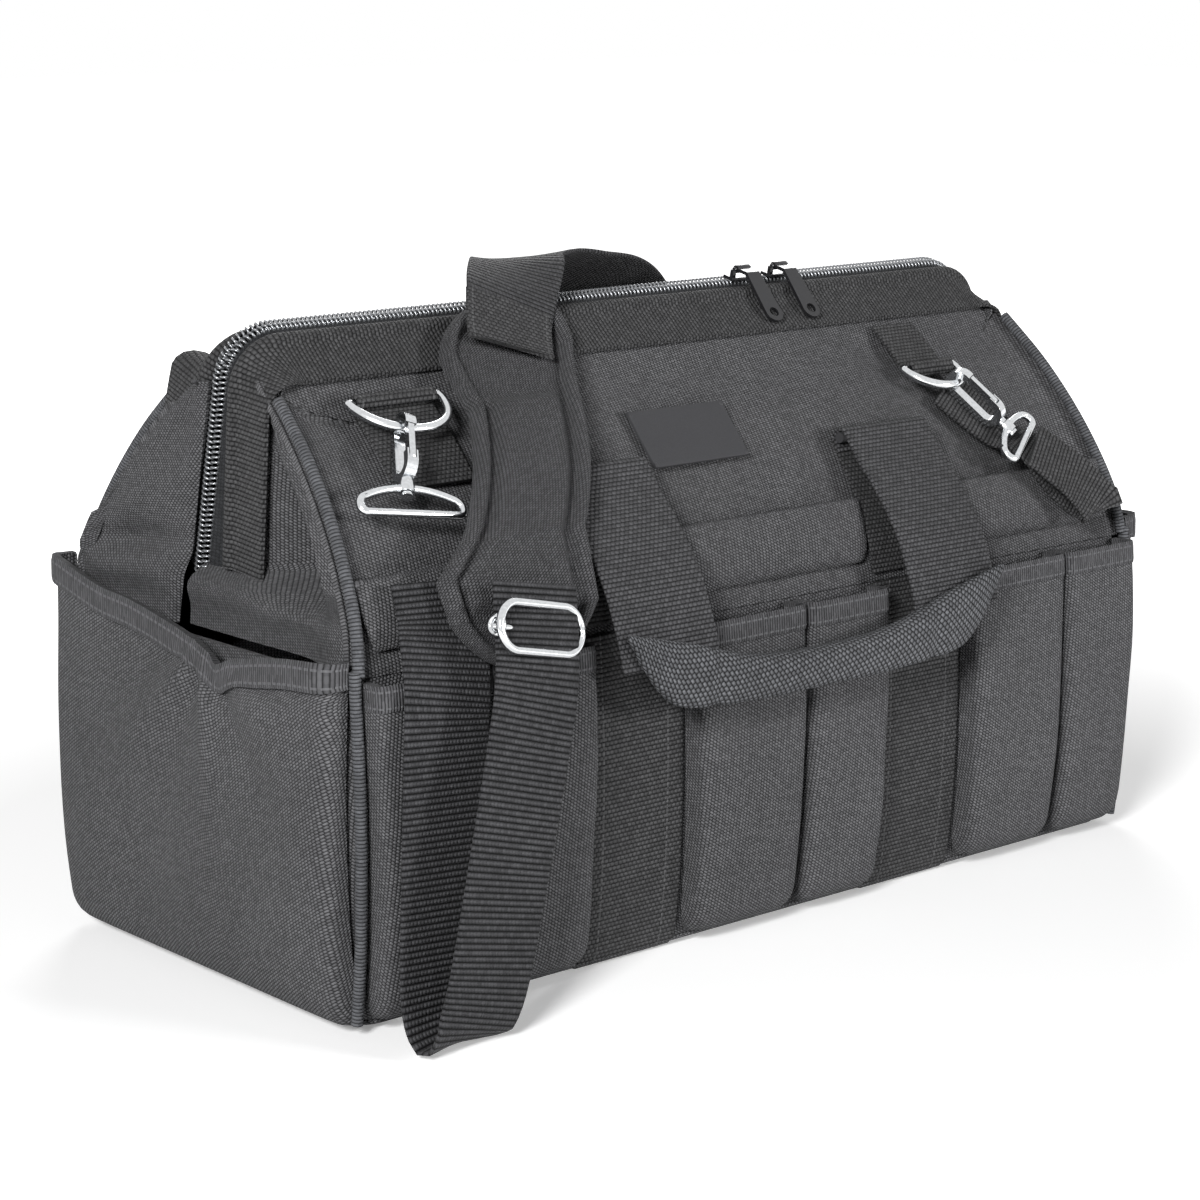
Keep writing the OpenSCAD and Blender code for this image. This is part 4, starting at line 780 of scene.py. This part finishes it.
def sleeve(tilt):
    line = u_line(ROD_HALF, ROD_BEND, ROD_DROP + 0.5)
    path = in_plane(line, ROD_IN, ROD_H, tilt)
    lap = np.array([0.0, -0.738, -0.674])
    leg = np.array([0.0, -cos(tilt), sin(tilt)])
    share = smooth(line[:, 1] / (ROD_BEND * 1.6))[:, None]
    side = lap * (1 - share) + leg * share
    r, flat = SLEEVE_R, BAND_W - 1.0
    arc = [(r * cos(a), r * sin(a)) for a in np.radians(np.linspace(-28, -318, 22))]
    drop_section = [(flat, 0.0), (13, 0.0), (7, 0.0)] + arc + [(7, 2.3), (13, BAND_T), (flat, BAND_T),
                                                             (flat + 0.8, BAND_T / 2), (flat, 0.0)]
    return sweep(path, side, np.array(drop_section))


for (face, body, turn), tilt in zip(FACES, (FRONT_TILT, BACK_TILT)):
    closed(face + "_sleeve_webbing", turn(sleeve(tilt)), "webbing", body, (face + "_frame_sleeve",))

# %% [markdown]
# ## Zip
# A coil zip is a fine spring sewn along each tape, and the two springs mesh. It is made as it really is: a
# helix of thin wire, two millimetres to a turn. A thin tape joins it to the sleeve.

# %% Coils and tapes
ZIP_HALF, ZIP_BEND, ZIP_DROP, ZIP_Z = 199.3, 20.0, 97.0, 248.8
ZIP_TILT = asin(20 / 97)
COIL_PITCH, COIL_WIDE, COIL_HIGH, WIRE_R = 2.1, 1.75, 1.5, 0.48


def coil(lean, phase, steps=9):
    """Helix along the mouth. lean tips its legs, and phase lets one row mesh with the other."""
    line = in_plane(u_line(ZIP_HALF, ZIP_BEND, ZIP_DROP), 0.0, ZIP_Z, lean, off=COIL_WIDE + 0.35)
    turns = int(run_length(line)[-1] / COIL_PITCH)
    core = resample(line, turns * steps + 1)
    run = unit(np.gradient(core, axis=0))
    wide = np.array([0.0, -cos(lean), sin(lean)])
    high = np.cross(run, wide)
    turn = (np.arange(len(core)) / steps * 2 * pi + phase)[:, None]
    helix = core + wide * COIL_WIDE * np.cos(turn) + high * COIL_HIGH * np.sin(turn)
    return sweep(helix, run, round_section(WIRE_R, WIRE_R, 5))


def zip_tape(lean, frame_tilt):
    """A thin strip from the coil to the sleeve, ruled between the two frame lines."""
    outer = in_plane(u_line(ZIP_HALF, ZIP_BEND, ZIP_DROP), 0.0, ZIP_Z, lean, off=2 * COIL_WIDE)
    inner = in_plane(u_line(ROD_HALF, ROD_BEND, ROD_DROP), ROD_IN, ROD_H, frame_tilt)
    inner = inner + unit(outer - inner) * (SLEEVE_R - 0.3)
    share = np.linspace(0, 1, 4)[:, None, None]
    return (inner * (1 - share) + outer * share)[:, ::-1]


for (face, body, turn), lean, tilt, phase in zip(FACES, (-ZIP_TILT, ZIP_TILT), (FRONT_TILT, BACK_TILT), (0, pi)):
    closed(face + "_zip_coil", turn(coil(lean, phase)), "zip_coil", body, (face + "_zip_row",), angle=80)
    sheet(face + "_zip_tape", turn(zip_tape(lean, tilt)), "zip_tape", body, thick=0.7)

# %% [markdown]
# ## Gussets
# At each end a fold of cloth joins the frame to the panels, so that the mouth can open wide. The front half
# folds inwards and the back half bulges out.


# %% Gusset halves
def leg_edge(tilt, z):
    return ROD_IN + BAND_W * cos(tilt) + (ROD_H - z + BAND_W * sin(tilt)) * tan(tilt)


def gusset_plan(z, back):
    """Left half of a gusset at one height, as (reach to the left, reach outward) from the zip to the panel."""
    half = float(panel_half(z))
    panel = (half - 1.2, float(lean_at(z)[0]) - WALL_T - 1.0)
    low = float(smooth((164 - z) / 12))
    if back:
        start = (ZIP_Z - z) * tan(ZIP_TILT) + 3.0
        proud = exp(-((z - 160) / 26) ** 2)
        x0 = ROD_HALF + SLEEVE_R + 2.0 + 3.0 * low
        return [(x0 - 2.5, start), (x0, start + 5), (x0 + 1.5 * proud, (start + panel[1]) / 2),
                (x0 + 3.0 * proud, panel[1] - 8 + 11 * proud), (half + 1.5 * proud, panel[1] + 7 * proud), panel]
    start = (ROD_H - z) * tan(-ZIP_TILT)
    x0 = ROD_HALF - 5.0 + 9.5 * low + 3.0 * exp(-((z - 150) / 6) ** 2)
    leg = leg_edge(FRONT_TILT, z)
    deep = 40.0 * float(smooth((z - 147) / 16) * smooth((229 - z) / 24))
    strip = 11.0 * float(smooth((232 - z) / 30))
    return [(x0, start), (x0, (start + leg) / 2), (x0, leg - 1), (min(x0, half - 4) - deep, 0.5 * (leg + panel[1])),
            (half - 2.0 - 0.06 * deep, panel[1] - strip), panel]


def gusset(back, rows=44, cols=44):
    points = np.zeros((rows, cols, 3))
    for i, z in enumerate(np.linspace(134.2, 229.0, rows)):
        plan = resample(spline(gusset_plan(z, back), 1.5), cols)
        points[i] = np.stack([-plan[:, 0], -plan[:, 1], np.full(cols, z)], -1)
    soft = np.sin(np.linspace(0, pi, cols))[None, :] * smooth(np.linspace(0, 1, rows) * 6)[:, None]
    points[..., 0] -= crumple(points, 30.0, 2.6, 5) * soft * (1.0 if back else 0.7)
    if back:
        z = points[..., 2]
        crease = sum(deep * np.exp(-((z - at - 0.12 * (points[..., 1] + 60)) / wide) ** 2)
                     for at, wide, deep in ((180, 10, 4.0), (163, 4.5, -4.5), (151, 6, 3.5), (205, 14, -2.0)))
        points[..., 0] -= crease * soft * smooth((1 - np.linspace(0, 1, cols)) / 0.4)[None, :]
    return points


for face, body, turn in FACES:
    left_half = turn(gusset(face == "back"))
    for tag, turn_end in ENDS:
        sheet(f"{face}_{tag}_gusset", turn_end(left_half), "body_cloth", stands_for=(tag + "_gusset",),
              blend=("bag", body, (0, 0, 0.137), (0, 0, 0.172)), thick=1.6)

# %% [markdown]
# ## Slip pockets, label and ring patches
# Three flat pockets lie on the front panel between the webbing strips. The label is a bare rubber plate with a
# raised rim. Each ring hangs in a loop of webbing that is sewn down with a box stitch.

# %% Slip pockets
SLIP_FOOT, SLIP_TOP, SLIP_OUT = 142.0, 165.0, 8.0
SLIP_END = float(panel_half(SLIP_TOP)) - 4.8
for tag, x0, x1 in (("left", -SLIP_END, -STRIP_OUT), ("middle", -STRIP_IN, STRIP_IN),
                    ("right", STRIP_OUT, SLIP_END)):
    points = bellows(x0, x1, lean_at, SLIP_FOOT, SLIP_TOP, SLIP_OUT - 3.2, seed=len(tag), foot_r=26.0,
                     valley=(0.3, 0.5), rows=16, count=61)
    sheet(f"slip_pocket_{tag}", points, "body_cloth", BAG_FRONT, ("front_slip_pockets",), thick=1.4)
    edge = resample(points[-1], 70) + (0, POCKET_T / 2, 0.3 - TAPE_H / 2)
    closed(f"slip_pocket_{tag}_tape", sweep(edge, (0, 0, 1), flat_section(TAPE_H, 2.8, 5)), "binding_tape", BAG_FRONT)

# %% Label
LABEL_X, LABEL_W = -18.66, 51.0
SEAT, PLATE, RIM = 0.35, 1.4, 1.85
LABEL_ROWS = ((187.5, SEAT), (187.6, 1.7), (188.0, RIM), (188.9, RIM), (189.3, PLATE), (205.6, PLATE), (206.0, RIM),
              (206.9, RIM), (207.3, 1.7), (207.4, SEAT))
LABEL_SIDE = [(0, SEAT), (0.15, RIM), (0.55, RIM), (1.5, RIM), (1.9, PLATE)]
LABEL_COLUMNS = LABEL_SIDE + [(LABEL_W / 2, PLATE)] + [(LABEL_W - x, rise) for x, rise in LABEL_SIDE[::-1]]
label = cloth("label_plate", [[on_wall(lean_at, LABEL_X - LABEL_W / 2 + x, z, min(rise, top))
                               for x, top in LABEL_COLUMNS] for z, rise in LABEL_ROWS])
modify(label, "BEVEL", width=0.0002, segments=2, limit_method="ANGLE")
dress(label, "patch_rubber", BAG_FRONT, ("label_patch",), thick=0.3)


# %% Ring patches and the tape strap
def looped_web(x, top_z, low_z, width, ring_above=True):
    """Webbing on the panel that turns round a ring's bar at one end."""
    bar_z = top_z if ring_above else low_z
    bar = np.array(lean_at(bar_z, 3.76))
    d = np.array(lean_at(bar_z + 1)) - lean_at(bar_z - 1)
    up = d / np.linalg.norm(d) * (1 if ring_above else -1)
    out = np.array(lean_at(bar_z, 1)) - lean_at(bar_z)
    z_run = np.linspace(low_z, top_z, 20)
    z_run = z_run if ring_above else z_run[::-1]
    flat = [np.array(lean_at(z, SEAM + WEB_T / 2)) for z in z_run]
    turn = [bar + 2.72 * (-out * cos(a) + up * sin(a)) for a in np.radians(np.linspace(20, 250, 14))]
    path = np.array([(x, -p[0], p[1]) for p in flat[:-1] + turn])
    return band(path, width)


patch = looped_web(-150, 219.5, 192.5, 37.4)
closed("front_ring_webbing", patch, "webbing_sewn", BAG_FRONT, ("front_ring_patch",))
closed("back_ring_webbing", to_back(patch * (-1, 1, 1)), "webbing_sewn", BAG_BACK, ("back_ring_patch",))
closed("tape_strap_webbing", looped_web(129, 226.0, 208, 25, ring_above=False), "webbing", BAG_FRONT, ("tape_strap",))

# %% [markdown]
# ## Handles
# The webbing is sewn up each panel, folds over at a stitched line and hangs down as the handle's leg. The
# leg stays flat and wide. The grip between the legs is a flattened tube with a diagonal fold at each end, so
# its section changes along the way.

# %% Webs on the panels
FOLD_H, GRIP_Y, GRIP_H = 187.0, 118.0, 118.0
fold_c = np.array(lean_at(FOLD_H, 6.1))
for face, body, turn in FACES:
    for s, tag in SIDES:
        flat = [on_wall(lean_at, s * STRIP_X, z, SEAM + WEB_T / 2) for z in np.linspace(136.5, FOLD_H + 1, 24)]
        closed(f"{face}_{tag}_web", turn(band(flat)), "webbing_sewn", body, (face + "_handle_webs",))


# %% Handle legs and grip
def handle_leg(side):
    """Flat webbing that rolls over the sewn fold and hangs down into the grip."""
    way = np.array([GRIP_Y, GRIP_H]) - fold_c
    roll = ((262, 6.6), (240, 4.4), (215, 3.8), (180, 3.5), (140, 3.3), (100, 3.2), (60, 3.2), (20, 3.2))
    line = [fold_c + r * np.array([cos(radians(a)), sin(radians(a))]) for a, r in roll]
    shares = ((0.2, 0.12), (0.38, 0.24), (0.66, 0.48), (0.84, 0.74), (0.93, 0.93))
    line += [fold_c + way * k + (1.0, 0) for k in shares]
    path = spline([(side * STRIP_X, -p[0], p[1]) for p in line], 2.0)
    return band(path, WEB_W - 0.8, 1.7)


# Distance from the middle, top, bottom and half depth of the grip
GRIP_PLAN = [(0, 119.5, 103.6, 6.4), (28, 120.4, 103.4, 6.4), (46, 123.2, 104, 6.2), (55, 125.8, 104.4, 6.0),
             (60, 127.2, 105.4, 4.8), (65, 129, 105, 5.6), (72, 131, 105.8, 5.0), (80, 133, 108, 4.2),
             (88, 135, 114.5, 3.4), (96, 137, 125, 2.4), (101, 138, 133, 1.6), (104, 138.6, 137.6, 0.7)]


def grip_points():
    """The grip: webbing rolled into a flattened tube, with a diagonal fold that ends in a point at each leg."""
    both = [(-x, *rest) for x, *rest in GRIP_PLAN[:0:-1]] + GRIP_PLAN
    line = spline(both, 2.0)
    path = np.stack([line[:, 0], np.full(len(line), -GRIP_Y), (line[:, 1] + line[:, 2]) / 2], -1)
    half = np.maximum((line[:, 1] - line[:, 2]) / 2, 0.4)
    section = np.array([round_section(a, max(b, 0.5), 36, 2.6) for a, b in zip(half, line[:, 3])])
    rows = path[:, None] + section[..., 0:1] * (0, 0, 1) + section[..., 1:2] * (0, -1, 0)
    return rows[::-1]


for face, _, turn in FACES:
    grip, handle = face + "_handle_grip", (face + "_handle",)
    for s, tag in SIDES:
        closed(f"{face}_handle_leg_{tag}", turn(handle_leg(s)), "handle_cloth", grip, handle)
    closed(face + "_handle_grip_webbing", turn(grip_points()), "grip_cloth", grip, handle, angle=70)

# %% [markdown]
# ## Shoulder strap
# A ribbed webbing hangs from the hook almost to the floor and comes back up through a wire slider to the pad.
# It is a flat sweep along a smooth route, and the width direction is given along the way, which sets the twist.

# %% Strap routes
SHARE = np.array([HALF_LEN, -HALF_DEP, MOUTH_H])
LOOP = np.array([(-0.825, 1.02, 0.66), (-0.83, 1.08, 0.6), (-0.84, 1.13, 0.56), (-0.85, 1.175, 0.52),
                 (-0.865, 1.21, 0.45), (-0.885, 1.24, 0.25), (-0.9, 1.27, 0.09), (-0.9, 1.31, 0.03),
                 (-0.895, 1.36, 0.014), (-0.885, 1.42, 0.03), (-0.86, 1.45, 0.1), (-0.815, 1.45, 0.26),
                 (-0.76, 1.415, 0.42), (-0.72, 1.365, 0.53), (-0.69, 1.265, 0.655)]) * SHARE
OVER = np.array([(-0.384, -0.246, 0.986), (-0.345, -0.15, 1.022), (-0.27, 0.02, 1.057),
                 (-0.22, 0.15, 1.056), (-0.14, 0.25, 1.045), (-0.03, 0.32, 1.025), (0.1, 0.42, 0.995),
                 (0.23, 0.6, 0.945), (0.34, 0.78, 0.88), (0.43, 0.95, 0.8), (0.49, 1.1, 0.715),
                 (0.535, 1.2, 0.64), (0.56, 1.25, 0.585), (0.575, 1.21, 0.565), (0.585, 1.13, 0.575),
                 (0.59, 1.06, 0.61), (0.592, 0.985, 0.67)]) * SHARE * (1, -1, 1)
OVER_SIDE = np.array([(0.93, -0.2, -0.25), (0.94, -0.24, -0.18), (0.96, -0.35, 0), (0.9, -0.6, 0.1),
                      (0.8, -0.7, 0.2), (0.7, -0.8, 0.35), (0.6, -0.7, 0.5), (0.6, -0.6, 0.6), (0.7, -0.5, 0.6),
                      (0.8, -0.35, 0.5), (0.9, -0.2, 0.35), (1, -0.1, 0.2), (1, 0, 0.1)] + 4 * [(1, 0, 0)])


def strap(name, route, side, width, finish, *told, **kept):
    """A flat strap along a smooth route, with its width direction at each place."""
    line = spline(np.hstack([route, np.broadcast_to(np.asarray(side, float), np.shape(route))]), 3.0)
    return closed(name, sweep(line[:, :3], line[:, 3:], flat_section(width, STRAP_T, 9)), finish, *told, **kept)


strap("strap_loop_webbing", LOOP, (1, 0, 0), STRAP_W, "strap_ribs", stands_for=("strap_loop",),
      blend=("bag", BAG_FRONT, (0, 0, 0.04), (0, 0, 0.13)))
strap("strap_over_mouth_webbing", OVER, OVER_SIDE, STRAP_W, "strap_ribs", stands_for=("strap_over_mouth",),
      blend=("bag", BAG_BACK, (0, 0.02, 0), (0, 0.10, 0)))

# %% Tape loop
TAPE_PLACES = [(0.63, 0.806, 0.17), (0.67, 0.765, 0.17), (0.715, 0.72, 0.45), (0.75, 0.682, 1.3),
               (0.81, 0.628, 1.25), (0.845, 0.597, 1.4), (0.857, 0.582, 1.75), (0.852, 0.588, 2.15),
               (0.81, 0.624, 2.1), (0.76, 0.66, 1.98), (0.727, 0.685, 1.9)]
tape_route = [on_wall(lean_at, x * HALF_LEN, z * MOUTH_H, off * SLIP_OUT) for x, z, off in TAPE_PLACES]
strap("tape_loop_webbing", tape_route, (1, 0, 0), 25, "webbing", BAG_FRONT, ("tape_loop",))

# %% [markdown]
# ## Shoulder pad
# The pad is a closed, crowned form: a thick bound rim, a sewn channel inside it, and a soft middle. Its
# outline bows as it lies over the roof. A short end of webbing is sewn over its top.

# %% Pad
PAD_LINE = wall(np.array([(1.205, 0.524), (1.14, 0.588), (1.08, 0.648), (1.03, 0.696), (0.95, 0.74), (0.82, 0.79),
                          (0.63, 0.845), (0.424, 0.896), (0.255, 0.946), (0.11, 1.003)]) * (HALF_DEP, MOUTH_H))
PAD_LEFT = np.array([(-0.77, 0.52), (-0.83, 0.6), (-0.84, 0.66), (-0.75, 0.72), (-0.66, 0.8), (-0.595, 0.86),
                     (-0.57, 0.93), (-0.45, 1.04)]) * (HALF_LEN, MOUTH_H)
PAD_RIGHT = np.array([(-0.6, 0.52), (-0.51, 0.6), (-0.502, 0.7), (-0.43, 0.77), (-0.34, 0.86), (-0.26, 0.93),
                      (-0.2, 1.04)]) * (HALF_LEN, MOUTH_H)
PAD_BLEND = ("bag", BAG_FRONT, (0, -0.03, 0), (0, -0.10, 0))


def pad_edges(z):
    return np.interp(z, PAD_LEFT[:, 1], PAD_LEFT[:, 0]), np.interp(z, PAD_RIGHT[:, 1], PAD_RIGHT[:, 0])


def pad_points(rows=120, count=140):
    """Closed rows across the pad, from its lower end to its top."""
    z_low, z_top, round_by = 131.5, 249.0, 14.0
    t = np.linspace(-1, 1, count // 2)
    t = np.sign(t) * (1 - (1 - abs(t)) ** 1.25)
    made = []
    for z in z_low + (z_top - z_low) * (1 - np.cos(np.linspace(0, pi, rows))) / 2:
        left, right = pad_edges(z)
        to_end = min(z - z_low, z_top - z)
        rest = max(round_by - to_end, 0.0)
        inset = round_by - sqrt(max(0.0, round_by ** 2 - rest ** 2))
        half, middle = (right - left) / 2 - inset + 0.3, (left + right) / 2
        side = np.maximum(half * (1 - abs(t)) + inset, 0)
        edge = np.where((side < round_by) & (to_end < round_by),
                        round_by - np.hypot(round_by - side, round_by - to_end), np.minimum(side, to_end))
        edge = np.maximum(edge, 0)
        bound = 5.4 * np.sqrt(np.clip(1 - ((edge - 3.6) / 3.6) ** 2, 0, 1))
        core = np.minimum(side - 9.0, min(z - z_low - 20, z_top - 30 - z))
        upper = 1.3 + bound + 0.9 * smooth((edge - 5) / 3) + 3.9 * smooth(core / 5)
        under = 0.45 + 0.4 * abs(t) ** 6
        x = np.concatenate([middle + half * t, (middle + half * t)[::-1]])
        off = np.concatenate([under, upper[::-1]])
        row = on_wall(PAD_LINE, x, z, off)
        made.append(np.vstack([row, row[:1]]))
    return np.array(made)


pad = closed("shoulder_pad_cushion", pad_points(), "pad_cloth", stands_for=("shoulder_pad",), blend=PAD_BLEND,
             angle=70)

end_route = [on_wall(PAD_LINE, sum(pad_edges(z)) / 2 - 1, z, 7.6) for z in np.linspace(247, 231, 12)]
strap("pad_top_webbing", end_route, OVER_SIDE[0], STRAP_W, "webbing_sewn", blend=PAD_BLEND)

# %% Wire slider on the strap
SLIDE_AT, SLIDE_RUN = (LOOP[-2] + LOOP[-1]) / 2, LOOP[-1] - LOOP[-2]
BOW_R, BOW_WIRE, BOW_HALF, BOW_LIFT = 0.0088, 0.0016, 0.0125, 0.0026
BAR_R, BAR_LONG, COLLAR_R, COLLAR_WIRE = 0.0015, 0.043, 0.0032, 0.0012
ALONG_X = (0, pi / 2, 0)
bpy.ops.mesh.primitive_torus_add(major_radius=BOW_R, minor_radius=BOW_WIRE, major_segments=48, minor_segments=16)
slider = bpy.context.object
slider.name = slider.data.name = "strap_slider_wire"
for point in slider.data.vertices:
    point.co.x += copysign(BOW_HALF, point.co.x)
    point.co.z += BOW_LIFT
bpy.ops.mesh.primitive_cylinder_add(radius=BAR_R, depth=BAR_LONG, vertices=16, rotation=ALONG_X,
                                    location=(0, 0, -0.0022))
bar = bpy.context.object
ends = []
for x in (-0.0208, 0.0208):
    bpy.ops.mesh.primitive_torus_add(major_radius=COLLAR_R, minor_radius=COLLAR_WIRE, major_segments=24,
                                     minor_segments=10, rotation=ALONG_X, location=(x, 0, 0.0002))
    ends.append(bpy.context.object)
pick(bar, *ends, slider)
bpy.ops.object.join()
up = Vector(SLIDE_RUN).normalized()
outward = Vector((0.10, -1, 0)).normalized()
outward = (outward - up * outward.dot(up)).normalized()
across = up.cross(outward)
turned = np.array([across, up, outward]).T
place = np.zeros(len(slider.data.vertices) * 3)
slider.data.vertices.foreach_get("co", place)
slider.data.vertices.foreach_set("co", (place.reshape(-1, 3) @ turned.T + SLIDE_AT * MM).ravel())
slider.location, slider.rotation_euler = (0, 0, 0), (0, 0, 0)
dress(slider, "nickel", BAG_FRONT, ("strap_slider",), angle=60)

# %% [markdown]
# ## Hardware
# The rings, hooks, gates and bails keep their CAD meshes. Their imported triangles are joined with
# a weld and get a narrow bevel, so that bright metal has an edge to catch the light. So do the zip's sliders.

# %% Metal parts from the CAD model
METAL = {"nickel": [place + part for place in ("front", "tape", "back")
                    for part in ("_d_ring", "_hook", "_hook_gate", "_hook_bail")],
         "black_metal": [f"zip_{part}_{side}" for part in ("slider", "pull") for _, side in SIDES],
         "spring_steel": ["front_frame_rod", "back_frame_rod"],
         "bottom_board": ["base_board"],
         "pin_thread": ["front_handle_pins", "back_handle_pins"]}
for finish, names in METAL.items():
    for name in names:
        part = cad_nodes[name]
        coat_with(part, finish)
        if finish in ("nickel", "black_metal"):
            modifier(part, "WELD", merge_threshold=0.00001)
            modifier(part, "BEVEL", width=0.00035, segments=2, limit_method="ANGLE", angle_limit=radians(40),
                     harden_normals=False)
print("metal parts:", sum(len(names) for names in METAL.values()))
